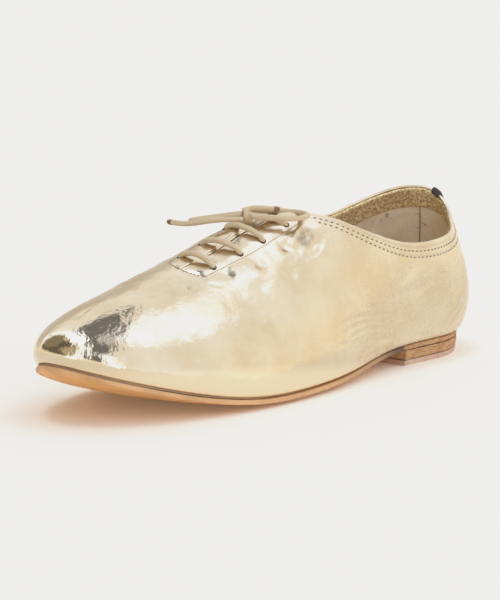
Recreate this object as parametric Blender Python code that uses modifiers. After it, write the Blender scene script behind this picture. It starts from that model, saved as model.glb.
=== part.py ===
"""Left jazz shoe in soft foil leather, with a thin leather sole and a low stacked heel.

Toe towards -Y, heel towards +Y, outer side towards +X, floor at Z = 0.
Tables and sizes below are in millimetres, meshes are made in metres.
"""
import math

import bmesh
import bpy
import numpy as np

MM = 0.001
UP = np.array([0.0, 0.0, 1.0])

# Middle of the shoe's length and width, which becomes the origin on the floor
CENTRE = np.array([1.61, 1.68, 0.0])

# Leather thicknesses and the clearance left between pieces that touch
WALL = 1.4
CLEAR = 0.3
EYESTAY_THICK = 0.8
FACING_THICK = 0.7
STRIP_THICK = 0.7
TONGUE_THICK = 1.2
INSOLE_THICK = 1.4

# Sole and heel
SOLE_MARGIN = 0.5
SOLE_EDGE = 1.9
SOLE_SWELL = 2.1
SWELL_FADE_START = 22.0
SWELL_FADE_END = 54.0
SOLE_SPINE_FRONT = -110.0
SOLE_SPINE_BACK = 106.0
HEEL_SEAT = 6.7
HEEL_BREAST = 7.76
HEEL_INSET = 0.6
TOP_PIECE_HEIGHT = 2.1
INSOLE_INSET = WALL + 0.5

# Throat, collar and lacing
SLIT_FRONT = 3.93
SLIT_BACK = 6.0
SLIT_HALF = 0.9
SLIT_TAPER = 0.4
FACING_DEPTH = 9.0
FACING_TOP_DROP = 1.0
FACING_FRONT = 6.3
STRIP_HALF = 0.17
LACE_RADIUS = 1.2
EYELET_RADIUS = 1.3
LACE_REST = CLEAR + EYESTAY_THICK + CLEAR + LACE_RADIUS
BAR_ARCH = 0.8

# Stations run from the toe tip, 0, to the heel back, 11. Outer side positive, inner negative.
HEEL = 11

# Feather line: y, x outer, x inner, height
FEATHER = [
    (-120.0, -3.0, -3.0, 21.5),
    (-116.5, 8.5, -12.7, 19.9),
    (-104.0, 21.8, -24.0, 15.4),
    (-80.0, 32.9, -33.5, 8.9),
    (-50.0, 39.2, -37.0, 4.2),
    (-14.0, 38.5, -32.0, 3.8),
    (14.0, 34.0, -25.5, 5.0),
    (38.0, 29.5, -22.5, 7.5),
    (64.0, 27.0, -23.0, 8.8),
    (90.0, 26.0, -24.5, 9.0),
    (110.2, 15.9, -16.2, 9.0),
    (116.8, 0.0, 0.0, 9.0),
]

# Crest of the last: y, x, height
CREST = [
    (-99.0, -2.5, 40.0),
    (-97.0, -2.4, 41.0),
    (-89.0, -1.5, 43.3),
    (-72.0, 1.0, 47.0),
    (-50.0, 3.5, 52.0),
    (-22.0, 4.5, 60.9),
    (2.0, 4.5, 68.2),
    (22.0, 4.0, 73.5),
    (45.0, 3.0, 78.0),
    (72.0, 2.0, 81.0),
    (93.0, 0.5, 81.0),
    (100.0, 0.0, 81.0),
]

# Fullness: outer belly, rise, crown, drop, then inner belly, rise, crown, drop
FULLNESS = [
    (6.0, 9.0, 14.0, 5.0, 6.0, 9.0, 14.0, 5.0),
    (6.0, 9.0, 13.0, 4.0, 6.0, 11.0, 13.0, 3.8),
    (7.0, 11.0, 14.0, 3.0, 7.0, 13.6, 14.6, 1.5),
    (7.0, 14.0, 18.0, 3.0, 6.0, 18.5, 19.0, -1.8),
    (7.0, 16.0, 21.0, 3.8, 4.2, 27.5, 23.5, -5.5),
    (6.0, 18.0, 21.0, 4.6, 3.3, 33.0, 24.0, -7.5),
    (5.0, 20.5, 21.2, 4.0, 3.1, 33.5, 20.5, -3.4),
    (4.0, 23.3, 23.7, 2.6, 3.0, 30.5, 22.0, 1.6),
    (5.2, 25.2, 25.5, 2.0, 4.0, 30.0, 26.3, 2.0),
    (8.4, 20.2, 24.2, 2.3, 5.0, 28.0, 28.4, 2.0),
    (13.8, 10.5, 18.0, 4.1, 9.9, 22.9, 27.0, 2.8),
    (13.2, 11.7, 24.0, 2.3, 13.2, 11.7, 24.0, 2.3),
]

# Collar: station, height outer, height inner
COLLAR = [
    (6.0, 68.2, 68.2),
    (6.5, 66.7, 68.6),
    (7.0, 61.5, 65.0),
    (8.0, 52.3, 59.1),
    (9.0, 51.5, 62.5),
    (10.0, 56.5, 69.3),
    (11.0, 66.7, 66.7),
]

# Lower edge of the eyestay: station, share of the profile outer, inner
EYESTAY_EDGE = [
    (3.72, 1.0, 1.0),
    (3.80, 0.915, 0.92),
    (3.89, 0.828, 0.84),
    (4.10, 0.836, 0.835),
    (5.00, 0.830, 0.83),
    (6.00, 0.835, 0.83),
    (6.28, 0.845, 0.84),
]

# Eyelet pairs: station and share outer, station and share inner
EYELETS = [
    (4.13, 0.883, 4.07, 0.887),
    (4.63, 0.878, 4.48, 0.885),
    (5.08, 0.873, 4.97, 0.870),
    (5.67, 0.882, 5.60, 0.870),
]

# Lace tied over the top pair: x, y, z along each length of cord
LACE_PATHS = {
    "lace_knot": [
        (7.0, -8.5, 68.2), (2.0, -13.0, 69.0), (-2.5, -12.5, 69.4), (-5.2, -9.0, 69.6),
    ],
    "lace_loop_outer": [
        (4.0, -15.5, 68.9), (10.5, -10.0, 68.4), (16.0, -2.0, 67.8), (15.5, 4.5, 68.6),
        (10.0, 4.5, 70.4), (5.0, -1.0, 71.2), (1.5, -7.2, 71.6),
    ],
    "lace_loop_inner": [
        (-0.5, -15.8, 69.2), (-7.0, -20.5, 68.0), (-13.5, -24.5, 66.8), (-18.5, -24.0, 66.0),
        (-17.0, -18.5, 66.8), (-11.5, -14.5, 68.3), (-6.5, -12.8, 70.2),
    ],
    "lace_end_inner": [
        (1.5, -17.4, 67.5), (-7.0, -24.5, 67.3), (-17.0, -28.5, 65.6), (-28.0, -29.0, 65.6),
    ],
    "lace_end_outer": [
        (-4.5, -15.5, 72.3), (1.0, -12.8, 72.2), (5.0, -8.0, 71.4), (8.0, -3.5, 70.2),
    ],
}

# Colours: red, green, blue, metallic, roughness
FINISHES = {
    "gold_leather": (0.72, 0.60, 0.38, 0.75, 0.32),
    "gold_facing": (0.46, 0.33, 0.14, 0.55, 0.45),
    "sole_leather": (0.62, 0.36, 0.19, 0.0, 0.55),
    "heel_leather": (0.45, 0.27, 0.15, 0.0, 0.75),
    "top_piece_leather": (0.66, 0.45, 0.32, 0.0, 0.70),
    "lining_suede": (0.50, 0.40, 0.31, 0.0, 0.90),
    "strip_dark": (0.10, 0.085, 0.075, 0.0, 0.60),
    "lace_cotton": (0.72, 0.61, 0.46, 0.0, 0.85),
}


def metres(point):
    """Point of the tables as a point of the part, in metres from its origin."""
    return (np.asarray(point, float) - CENTRE) * MM


def natural_curve(knots, values):
    """Cubic curve through the values with free ends, as knots, values and bends."""
    knots = np.array(knots, float)
    values = np.array(values, float)
    count = len(knots)
    span = np.diff(knots)
    system = np.zeros((count, count))
    change = np.zeros(count)
    system[0, 0] = 1.0
    system[-1, -1] = 1.0
    for i in range(1, count - 1):
        system[i, i - 1:i + 2] = (span[i - 1], 2.0 * (span[i - 1] + span[i]), span[i])
        change[i] = 3.0 * ((values[i + 1] - values[i]) / span[i]
                           - (values[i] - values[i - 1]) / span[i - 1])
    return knots, values, np.linalg.solve(system, change)


def read_curve(curve, t):
    """Value of a natural curve at t."""
    knots, values, bends = curve
    i = int(np.clip(np.searchsorted(knots, t) - 1, 0, len(knots) - 2))
    span = knots[i + 1] - knots[i]
    step = t - knots[i]
    cubic = (bends[i + 1] - bends[i]) / (3.0 * span)
    linear = (values[i + 1] - values[i]) / span - span * (2.0 * bends[i] + bends[i + 1]) / 3.0
    return values[i] + linear * step + bends[i] * step ** 2 + cubic * step ** 3


def closed_curve(rows):
    """Smooth closed curve through the rows, one unit of its parameter a row."""
    rows = np.array(rows, float)
    count = len(rows)
    system = 4.0 * np.eye(count)
    for i in range(count):
        system[i, (i - 1) % count] += 1.0
        system[i, (i + 1) % count] += 1.0
    change = 3.0 * (np.roll(rows, -1, axis=0) - np.roll(rows, 1, axis=0))
    return rows, np.linalg.solve(system, change)


def read_closed(curve, s):
    """Row and its rate of change at parameter s of a closed curve."""
    rows, slopes = curve
    count = len(rows)
    base = math.floor(s)
    u = s - base
    a = base % count
    b = (base + 1) % count
    value = ((2 * u ** 3 - 3 * u ** 2 + 1) * rows[a] + (u ** 3 - 2 * u ** 2 + u) * slopes[a]
             + (3 * u ** 2 - 2 * u ** 3) * rows[b] + (u ** 3 - u ** 2) * slopes[b])
    rate = ((6 * u ** 2 - 6 * u) * rows[a] + (3 * u ** 2 - 4 * u + 1) * slopes[a]
            + (6 * u - 6 * u ** 2) * rows[b] + (3 * u ** 2 - 2 * u) * slopes[b])
    return value, rate


def last_rows():
    """Rows of the last once round: heel back, inner side, toe tip, outer side."""
    rows = []
    for station in range(-HEEL, HEEL):
        side = abs(station)
        y, x_outer, x_inner, _ = FEATHER[side]
        crest_y, crest_x, crest_z = CREST[side]
        x = x_outer if station > 0 else x_inner
        full = FULLNESS[side][:4] if station > 0 else FULLNESS[side][4:]
        rows.append((x, y, crest_x, crest_y, crest_z) + tuple(full))
    return rows


def collar_knots():
    """Collar heights from the outer throat round the heel to the inner throat."""
    outer = [(station, high) for station, high, _ in COLLAR]
    inner = [(2 * HEEL - station, high) for station, _, high in COLLAR[-2::-1]]
    return zip(*(outer + inner))


RING = closed_curve(last_rows())
SEAT = natural_curve([row[0] for row in FEATHER], [row[3] for row in FEATHER])
COLLAR_LINE = natural_curve(*collar_knots())


def foot_point(station):
    """Feather line point and the outward direction there."""
    row, rate = read_closed(RING, station + HEEL)
    out = np.array([rate[1], -rate[0], 0.0])
    out /= np.linalg.norm(out)
    return np.array([row[0], row[1], read_curve(SEAT, row[1])]), out


def profile(station):
    """Control points of the last's profile at a station, from feather to crest."""
    row, _ = read_closed(RING, station + HEEL)
    foot, out = foot_point(station)
    crest = row[2:5]
    belly, rise, crown, drop = row[5:9]
    return foot, foot + out * belly + UP * rise, crest + out * crown - UP * drop, crest


def last_point(station, share):
    """Point of the last at a share of the profile, 0 at the feather and 1 at the crest."""
    a, b, c, d = profile(station)
    rest = 1.0 - share
    return (rest ** 3 * a + 3 * rest ** 2 * share * b
            + 3 * rest * share ** 2 * c + share ** 3 * d)


def last_normal(station, share):
    """Outward normal of the last."""
    step = 0.01
    along = last_point(station + step, share) - last_point(station - step, share)
    upward = last_point(station, share + step) - last_point(station, share - step)
    normal = np.cross(along, upward)
    return normal / np.linalg.norm(normal)


def skin(station, share, out):
    """Point at a distance outside the last, one shared point on the crest."""
    normal = last_normal(station, share)
    if share > 0.9999:
        normal = normal + last_normal(-station, share)
        normal = normal / np.linalg.norm(normal)
    return last_point(station, share) + normal * out


def share_at(station, height):
    """Share of the profile at which it reaches a height."""
    low = 0.0
    high = 1.0
    for _ in range(40):
        middle = (low + high) / 2.0
        if last_point(station, middle)[2] < height:
            low = middle
        else:
            high = middle
    return (low + high) / 2.0


def collar_height(station):
    """Height of the collar edge at a station behind the throat."""
    return read_curve(COLLAR_LINE, station if station > 0 else 2 * HEEL + station)


def rim_share(station):
    """Share of the profile that is leather, up to the slit's edge or the collar."""
    side = abs(station)
    if side <= SLIT_FRONT:
        return 1.0
    row, _ = read_closed(RING, station + HEEL)
    half = SLIT_HALF * min(1.0, (side - SLIT_FRONT) / SLIT_TAPER)
    share = 1.0 - half / (3.0 * row[7])
    if side > SLIT_BACK:
        share = min(share, share_at(station, collar_height(station)))
    return share


def side_stations():
    """Stations of one side, closer together at the slit's end, the throat corner and the back."""
    stations = [i / 3.0 for i in range(3 * HEEL + 1) if i != 12]
    return sorted(stations + [SLIT_FRONT, 4.1, 6.08, 6.2, 6.5, HEEL - STRIP_HALF])


def ring_stations():
    """Stations once round the shoe from the heel back."""
    side = side_stations()
    return [-station for station in side[:0:-1]] + side[:-1]


def finish(name):
    """Material of a finish, made once."""
    material = bpy.data.materials.get(name)
    if material is None:
        red, green, blue, metallic, roughness = FINISHES[name]
        material = bpy.data.materials.new(name)
        material.use_nodes = True
        shader = material.node_tree.nodes["Principled BSDF"]
        shader.inputs["Base Color"].default_value = (red, green, blue, 1.0)
        shader.inputs["Metallic"].default_value = metallic
        shader.inputs["Roughness"].default_value = roughness
        material.diffuse_color = (red, green, blue, 1.0)
    return material


def add_object(name, data, collection, finish_name=None):
    """Object of a mesh or curve in a collection."""
    piece = bpy.data.objects.new(name, data)
    collection.objects.link(piece)
    if finish_name:
        data.materials.append(finish(finish_name))
    return piece


def grid_mesh(name, rows, closed=False):
    """Mesh of quads through a grid of points, with meeting points merged."""
    mesh = bpy.data.meshes.new(name)
    bm = bmesh.new()
    grid = [[bm.verts.new(metres(point)) for point in row] for row in rows]
    count = len(grid) if closed else len(grid) - 1
    for i in range(count):
        near = grid[i]
        far = grid[(i + 1) % len(grid)]
        for j in range(len(near) - 1):
            bm.faces.new((near[j], far[j], far[j + 1], near[j + 1]))
    bmesh.ops.remove_doubles(bm, verts=bm.verts, dist=0.0001)
    bmesh.ops.dissolve_degenerate(bm, dist=0.00001, edges=bm.edges)
    for face in bm.faces:
        face.smooth = True
    bm.to_mesh(mesh)
    bm.free()
    return mesh


def add_sheet(name, rows, thickness, offset, finish_name, collection, closed=False):
    """Leather piece: a grid given its thickness, offset 1 outward and -1 inward."""
    piece = add_object(name, grid_mesh(name, rows, closed), collection, finish_name)
    solidify = piece.modifiers.new("thickness", "SOLIDIFY")
    solidify.thickness = thickness * MM
    solidify.offset = offset
    solidify.use_even_offset = True
    solidify.use_rim = True
    return piece


def add_plate(name, rows, finish_name, collection):
    """Closed plate from rows that run from its bottom spine round the edge to its top spine."""
    mesh = grid_mesh(name, rows, closed=True)
    bm = bmesh.new()
    bm.from_mesh(mesh)
    bmesh.ops.recalc_face_normals(bm, faces=bm.faces)
    bm.to_mesh(mesh)
    bm.free()
    return add_object(name, mesh, collection, finish_name)


def add_prism(name, outline, low, high, flare, finish_name, collection):
    """Block between two heights, its lower outline drawn in by the flare."""
    mesh = bpy.data.meshes.new(name)
    bm = bmesh.new()
    centre = np.mean(outline, axis=0)
    rings = []
    for height, inset in ((low, flare), (high, 0.0)):
        ring = []
        for point in outline:
            inward = centre - point
            inward = inward / np.linalg.norm(inward)
            x, y = point + inward * inset
            ring.append(bm.verts.new(metres((x, y, height))))
        rings.append(ring)
    count = len(outline)
    for i in range(count):
        j = (i + 1) % count
        bm.faces.new((rings[0][i], rings[0][j], rings[1][j], rings[1][i]))
    bm.faces.new(rings[0][::-1])
    bm.faces.new(rings[1])
    bmesh.ops.recalc_face_normals(bm, faces=bm.faces)
    bm.to_mesh(mesh)
    bm.free()
    block = add_object(name, mesh, collection, finish_name)
    bevel = block.modifiers.new("edge", "BEVEL")
    bevel.width = 0.35 * MM
    bevel.segments = 1
    bevel.limit_method = "ANGLE"
    bevel.angle_limit = math.radians(50.0)
    return block


def smooth_path(points, spacing):
    """Points at an even spacing along a smooth path through the given ones."""
    points = np.array(points, float)
    length = np.concatenate([[0.0], np.cumsum(np.linalg.norm(np.diff(points, axis=0), axis=1))])
    curves = [natural_curve(length, points[:, axis]) for axis in range(3)]
    count = max(3, int(round(length[-1] / spacing)))
    return [[read_curve(curve, length[-1] * i / count) for curve in curves]
            for i in range(count + 1)]


def add_cord(name, points, collection):
    """Round lace along a path."""
    data = bpy.data.curves.new(name, "CURVE")
    data.dimensions = "3D"
    data.bevel_depth = LACE_RADIUS * MM
    data.bevel_resolution = 2
    data.use_fill_caps = True
    spline = data.splines.new("POLY")
    spline.points.add(len(points) - 1)
    for target, point in zip(spline.points, points):
        target.co = tuple(metres(point)) + (1.0,)
    return add_object(name, data, collection, "lace_cotton")


def upper_rows():
    """Grid of the upper's outside, each profile cut at the slit or the collar."""
    levels = 11
    rows = []
    for station in ring_stations():
        rim = rim_share(station)
        row = [last_point(station, rim * j / levels) for j in range(levels + 1)]
        if station == 0:
            row[-1] = last_point(1.0 / 3.0, 1.0)
        rows.append(row)
    return rows


def eyestay_rows():
    """Grid of the eyestay from the inner collar round the slit's end to the outer collar."""
    edge = np.array(EYESTAY_EDGE)
    levels = 5
    side = [3.72, 3.76, 3.8, 3.85, 3.89, SLIT_FRONT, 4.1, 4.4, 4.7, 5.0, 5.3, 5.6, 5.85, 6.0, 6.1, 6.22]
    rows = []
    for station in [-s for s in side[::-1]] + side:
        column = 1 if station > 0 else 2
        low = float(np.interp(abs(station), edge[:, 0], edge[:, column]))
        rim = rim_share(station)
        shares = [low + (rim - low) * j / levels for j in range(levels + 1)]
        rows.append([skin(station, share, CLEAR) for share in shares])
    return rows


def tongue_rows():
    """Grid of the tongue's outside, under the wall from the outer side over to the inner."""
    levels = 5
    low = 0.80
    rows = []
    for i in range(12):
        station = 3.7 + 2.3 * i / 11.0
        shares = [low + (1.0 - low) * j / levels for j in range(levels + 1)]
        outer = [skin(station, share, -WALL - CLEAR) for share in shares]
        inner = [skin(-station, share, -WALL - CLEAR) for share in shares[-2::-1]]
        rows.append(outer + inner)
    return rows


def facing_rows():
    """Grid of the collar facing, from the outer throat round the heel to the inner throat."""
    levels = 3
    steps = 26
    span = HEEL - FACING_FRONT
    rows = []
    for i in range(steps + 1):
        along = FACING_FRONT + 2.0 * span * i / steps
        station = along if along <= HEEL else along - 2 * HEEL
        rim = collar_height(station)
        heights = np.linspace(rim - FACING_DEPTH, rim - FACING_TOP_DROP, levels + 1)
        rows.append([skin(station, share_at(station, height), -WALL - CLEAR) for height in heights])
    return rows


def strip_rows():
    """Grid of the back strip, up the back seam and over the collar's edge."""
    levels = 12
    rows = []
    for i in range(5):
        along = HEEL - STRIP_HALF + STRIP_HALF * i / 2.0
        station = along if along <= HEEL else along - 2 * HEEL
        rim = rim_share(station)
        row = [skin(station, 0.02 + (rim - 0.02) * j / levels, CLEAR) for j in range(levels + 1)]
        middle = skin(station, rim, -WALL / 2.0)
        outward = last_normal(station, rim)
        for turn in (45.0, 90.0, 135.0, 180.0):
            angle = math.radians(turn)
            reach = WALL / 2.0 + CLEAR
            row.append(middle + (outward * math.cos(angle) + UP * math.sin(angle)) * reach)
        rows.append(row)
    return rows


def spine_point(station):
    """Point on the sole's centre line for a station."""
    outer, _ = foot_point(abs(station))
    inner, _ = foot_point(-abs(station))
    y = min(max(outer[1], SOLE_SPINE_FRONT), SOLE_SPINE_BACK)
    if y != outer[1]:
        table = np.array(FEATHER)
        x = np.interp(y, table[:, 0], (table[:, 1] + table[:, 2]) / 2.0)
    else:
        x = (outer[0] + inner[0]) / 2.0
    return np.array([x, y])


def sole_bottom(y, inward):
    """Height of the sole's underside, rounded across and flat where it stands."""
    fade = (SWELL_FADE_END - y) / (SWELL_FADE_END - SWELL_FADE_START)
    fade = min(max(fade, 0.0), 1.0)
    swell = SOLE_SWELL * fade * (1.0 - (1.0 - inward) ** 2)
    floor = HEEL_SEAT if y > SWELL_FADE_END else 0.0
    return max(read_curve(SEAT, y) - CLEAR - SOLE_EDGE - swell, floor)


def outsole_rows():
    """Rows across the sole from its bottom spine round the edge to its top spine."""
    rows = []
    for station in ring_stations():
        foot, out = foot_point(station)
        spine = spine_point(station)
        edge = (foot + out * SOLE_MARGIN)[:2]
        tuck = (foot - out * 0.1)[:2]
        row = []
        for inward in (1.0, 0.75, 0.5, 0.25, 0.1):
            x, y = edge + (spine - edge) * inward
            row.append((x, y, sole_bottom(y, inward)))
        row.append((tuck[0], tuck[1], sole_bottom(tuck[1], 0.0)))
        row.append((edge[0], edge[1], sole_bottom(edge[1], 0.0) + 0.5))
        row.append((edge[0], edge[1], read_curve(SEAT, edge[1]) - CLEAR - 0.3))
        for inward in (0.02, 0.5, 1.0):
            x, y = edge + (spine - edge) * inward
            row.append((x, y, read_curve(SEAT, y) - CLEAR))
        rows.append(row)
    return rows


def insole_rows():
    """Rows across the insole from its bottom spine round the edge to its top spine."""
    rows = []
    for station in ring_stations():
        foot, out = foot_point(station)
        spine = spine_point(station)
        edge = (foot - out * INSOLE_INSET)[:2]
        row = []
        for inward, lift in ((1.0, 0.0), (0.5, 0.0), (0.0, 0.0), (0.0, 1.0), (0.5, 1.0), (1.0, 1.0)):
            x, y = edge + (spine - edge) * inward
            row.append((x, y, read_curve(SEAT, y) + lift * INSOLE_THICK))
        rows.append(row)
    return rows


def heel_outline(inset):
    """Outline of the heel, straight across the breast and round the back."""
    steps = 26
    span = HEEL - HEEL_BREAST
    points = []
    for i in range(steps + 1):
        along = HEEL_BREAST + 2.0 * span * i / steps
        station = along if along <= HEEL else along - 2 * HEEL
        foot, out = foot_point(station)
        points.append((foot - out * inset)[:2])
    return points


def bar_path(outer_station, outer_share, inner_station, inner_share):
    """Path of a lace bar from the outer eyelet over the slit to the inner one."""
    path = []
    for along in np.linspace(0.0, 1.0, 7):
        arch = LACE_REST + BAR_ARCH * math.sin(math.pi * along)
        station = outer_station + (inner_station - outer_station) * along
        if along <= 0.5:
            path.append(skin(station, outer_share + (1.0 - outer_share) * along / 0.5, arch))
        else:
            path.append(skin(-station, inner_share + (1.0 - inner_share) * (1.0 - along) / 0.5, arch))
    return path


def add_eyelet_cutters(collection):
    """Round punches through the wall and eyestay at each eyelet."""
    mesh = bpy.data.meshes.new("eyelet_punches")
    bm = bmesh.new()
    for outer_station, outer_share, inner_station, inner_share in EYELETS:
        for signed, share in ((outer_station, outer_share), (-inner_station, inner_share)):
            normal = last_normal(signed, share)
            across = np.cross(normal, np.array([0.0, 1.0, 0.0]))
            across = across / np.linalg.norm(across)
            other = np.cross(normal, across)
            rings = []
            for depth in (-3.5, 3.5):
                centre = skin(signed, share, depth)
                ring = []
                for i in range(10):
                    angle = 2.0 * math.pi * i / 10
                    spoke = across * math.cos(angle) + other * math.sin(angle)
                    ring.append(bm.verts.new(metres(centre + spoke * EYELET_RADIUS)))
                rings.append(ring)
            for i in range(10):
                j = (i + 1) % 10
                bm.faces.new((rings[0][i], rings[0][j], rings[1][j], rings[1][i]))
            bm.faces.new(rings[0][::-1])
            bm.faces.new(rings[1])
    bmesh.ops.recalc_face_normals(bm, faces=bm.faces)
    bm.to_mesh(mesh)
    bm.free()
    cutter = add_object("eyelet_punches", mesh, collection)
    cutter.hide_render = True
    cutter.display_type = "WIRE"
    return cutter


def punch(piece, cutter):
    """Holes of the cutter through a piece."""
    cut = piece.modifiers.new("eyelets", "BOOLEAN")
    cut.operation = "DIFFERENCE"
    cut.solver = "EXACT"
    cut.object = cutter


def main():
    for old in list(bpy.data.objects):
        bpy.data.objects.remove(old, do_unlink=True)
    scene = bpy.context.scene
    parts = bpy.data.collections.new("jazz_shoe")
    cutters = bpy.data.collections.new("cutters")
    scene.collection.children.link(parts)
    scene.collection.children.link(cutters)

    # Bottom of the shoe
    add_plate("outsole", outsole_rows(), "sole_leather", parts)
    add_plate("insole", insole_rows(), "lining_suede", parts)
    heel_top = HEEL_SEAT - CLEAR
    outline = heel_outline(HEEL_INSET)
    add_prism("heel_stack", outline, TOP_PIECE_HEIGHT + CLEAR, heel_top, 0.5, "heel_leather", parts)
    outline = heel_outline(HEEL_INSET + 0.5)
    add_prism("heel_top_piece", outline, 0.0, TOP_PIECE_HEIGHT, 0.2, "top_piece_leather", parts)

    # Upper and the pieces sewn to it
    punches = add_eyelet_cutters(cutters)
    upper = add_sheet("upper", upper_rows(), WALL, -1.0, "gold_leather", parts, closed=True)
    punch(upper, punches)
    eyestay = add_sheet("eyestay", eyestay_rows(), EYESTAY_THICK, 1.0, "gold_leather", parts)
    punch(eyestay, punches)
    add_sheet("tongue", tongue_rows(), TONGUE_THICK, -1.0, "gold_leather", parts)
    add_sheet("collar_facing", facing_rows(), FACING_THICK, -1.0, "gold_facing", parts)
    add_sheet("back_strip", strip_rows(), STRIP_THICK, 1.0, "strip_dark", parts)

    # Lace
    for number, pair in enumerate(EYELETS[:-1], start=1):
        add_cord("lace_bar_%d" % number, smooth_path(bar_path(*pair), 4.0 * LACE_RADIUS), parts)
    outer_station, outer_share, inner_station, inner_share = EYELETS[-1]
    first = skin(outer_station, outer_share, LACE_REST)
    last = skin(-inner_station, inner_share, LACE_REST)
    for name, points in LACE_PATHS.items():
        if name == "lace_knot":
            points = [first] + points + [last]
        add_cord(name, smooth_path(points, 4.4 * LACE_RADIUS), parts)


main()
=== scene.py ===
"""Looks of a left jazz shoe in pale gold foil leather, laced at the throat, on a thin leather sole.

Toe towards -Y, heel towards +Y, outer side towards +X, floor at Z = 0.
Tables and sizes below are in millimetres, meshes are made in metres.
"""

import math

import bmesh
import bpy
import numpy as np
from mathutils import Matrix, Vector


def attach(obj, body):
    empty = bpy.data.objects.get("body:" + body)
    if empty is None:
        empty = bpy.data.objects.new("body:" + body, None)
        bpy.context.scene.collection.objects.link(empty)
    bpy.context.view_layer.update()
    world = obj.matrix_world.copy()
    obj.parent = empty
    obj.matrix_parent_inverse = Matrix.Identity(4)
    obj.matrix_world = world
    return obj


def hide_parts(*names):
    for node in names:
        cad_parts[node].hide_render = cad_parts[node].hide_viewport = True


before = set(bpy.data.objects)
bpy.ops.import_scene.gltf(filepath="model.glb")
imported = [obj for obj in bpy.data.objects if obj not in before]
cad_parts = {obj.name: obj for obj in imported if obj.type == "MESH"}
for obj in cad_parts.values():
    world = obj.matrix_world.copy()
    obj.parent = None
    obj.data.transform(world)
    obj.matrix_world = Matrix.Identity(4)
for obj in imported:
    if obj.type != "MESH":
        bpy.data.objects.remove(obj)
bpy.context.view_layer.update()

MM = 0.001
UP = np.array([0.0, 0.0, 1.0])
CENTRE = np.array([1.61, 1.68, 0.0])

# Leather thicknesses, sole and heel
WALL = 1.4
CLEAR = 0.3
FACING_THICK = 0.7
STRIP_THICK = 0.7
TONGUE_THICK = 1.2
INSOLE_THICK = 1.4
SOLE_MARGIN = 0.5
SOLE_EDGE = 1.9
SOLE_SWELL = 2.1
SWELL_FADE_START = 22.0
SWELL_FADE_END = 54.0
SOLE_SPINE_FRONT = -110.0
SOLE_SPINE_BACK = 106.0
HEEL_SEAT = 6.7
HEEL_BREAST = 7.76
HEEL_INSET = 0.6
TOP_PIECE_HEIGHT = 2.1
INSOLE_INSET = WALL - 0.2

# Throat, collar and lacing
SLIT_FRONT = 3.93
SLIT_BACK = 6.0
SLIT_HALF = 0.9
SLIT_TAPER = 0.4
FACING_DEPTH = 9.0
FACING_FRONT = 6.3
STRIP_HALF = 0.17
EYELET_RADIUS = 1.3
EYELET_LIP = 0.25

# Stations run from the toe tip, 0, to the heel back, 11. Outer side positive, inner negative.
HEEL = 11

# Feather line: y, x outer, x inner, height
FEATHER = [
    (-120.0, -3.0, -3.0, 21.5),
    (-116.5, 8.5, -12.7, 19.9),
    (-104.0, 21.8, -24.0, 15.4),
    (-80.0, 32.9, -33.5, 8.9),
    (-50.0, 39.2, -37.0, 4.2),
    (-14.0, 38.5, -32.0, 3.8),
    (14.0, 34.0, -25.5, 5.0),
    (38.0, 29.5, -22.5, 7.5),
    (64.0, 27.0, -23.0, 8.8),
    (90.0, 26.0, -24.5, 9.0),
    (110.2, 15.9, -16.2, 9.0),
    (116.8, 0.0, 0.0, 9.0),
]

# Crest of the last: y, x, height
CREST = [
    (-99.0, -2.5, 40.0),
    (-97.0, -2.4, 41.0),
    (-89.0, -1.5, 43.3),
    (-72.0, 1.0, 47.0),
    (-50.0, 3.5, 52.0),
    (-22.0, 4.5, 60.9),
    (2.0, 4.5, 68.2),
    (22.0, 4.0, 73.5),
    (45.0, 3.0, 78.0),
    (72.0, 2.0, 81.0),
    (93.0, 0.5, 81.0),
    (100.0, 0.0, 81.0),
]

# Fullness: belly, rise, crown, drop on the outer side, then on the inner side
FULLNESS = [
    (6.0, 9.0, 14.0, 5.0, 6.0, 9.0, 14.0, 5.0),
    (6.0, 9.0, 13.0, 4.0, 6.0, 11.0, 13.0, 3.8),
    (7.0, 11.0, 14.0, 3.0, 7.0, 13.6, 14.6, 1.5),
    (7.0, 14.0, 18.0, 3.0, 6.0, 18.5, 19.0, -1.8),
    (7.0, 16.0, 21.0, 3.8, 4.2, 27.5, 23.5, -5.5),
    (6.0, 18.0, 21.0, 4.6, 3.3, 33.0, 24.0, -7.5),
    (5.0, 20.5, 21.2, 4.0, 3.1, 33.5, 20.5, -3.4),
    (4.0, 23.3, 23.7, 2.6, 3.0, 30.5, 22.0, 1.6),
    (5.2, 25.2, 25.5, 2.0, 4.0, 30.0, 26.3, 2.0),
    (8.4, 20.2, 24.2, 2.3, 5.0, 28.0, 28.4, 2.0),
    (13.8, 10.5, 18.0, 4.1, 9.9, 22.9, 27.0, 2.8),
    (13.2, 11.7, 24.0, 2.3, 13.2, 11.7, 24.0, 2.3),
]

# Collar: station, height outer, height inner
COLLAR = [
    (6.0, 68.2, 68.2),
    (6.5, 66.7, 68.6),
    (7.0, 61.5, 65.0),
    (8.0, 52.3, 59.1),
    (9.0, 51.5, 62.5),
    (10.0, 56.5, 69.3),
    (11.0, 66.7, 66.7),
]

# Lower edge of the eyestay: station, share outer, share inner
EYESTAY_EDGE = [
    (3.72, 1.0, 1.0),
    (3.80, 0.915, 0.92),
    (3.89, 0.828, 0.84),
    (4.10, 0.836, 0.835),
    (5.00, 0.830, 0.83),
    (6.00, 0.835, 0.83),
    (6.28, 0.845, 0.84),
]

# Eyelets: station and share outer, station and share inner
EYELETS = [
    (4.13, 0.883, 4.07, 0.887),
    (4.63, 0.878, 4.48, 0.885),
    (5.08, 0.873, 4.97, 0.870),
    (5.67, 0.882, 5.60, 0.870),
]

# Lace: radius, faces round it, spacing of its points, rounds that ease the bow, ends hidden under the leather
LACE_RADIUS = 1.08
LACE_AROUND = 16
LACE_SPACING = 0.5
BAR_SPACING = 0.45
KNOT_ROUNDS = 30
LOOP_ROUNDS = 35
BAR_END = -1.4
KNOT_END = -2.2

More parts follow.
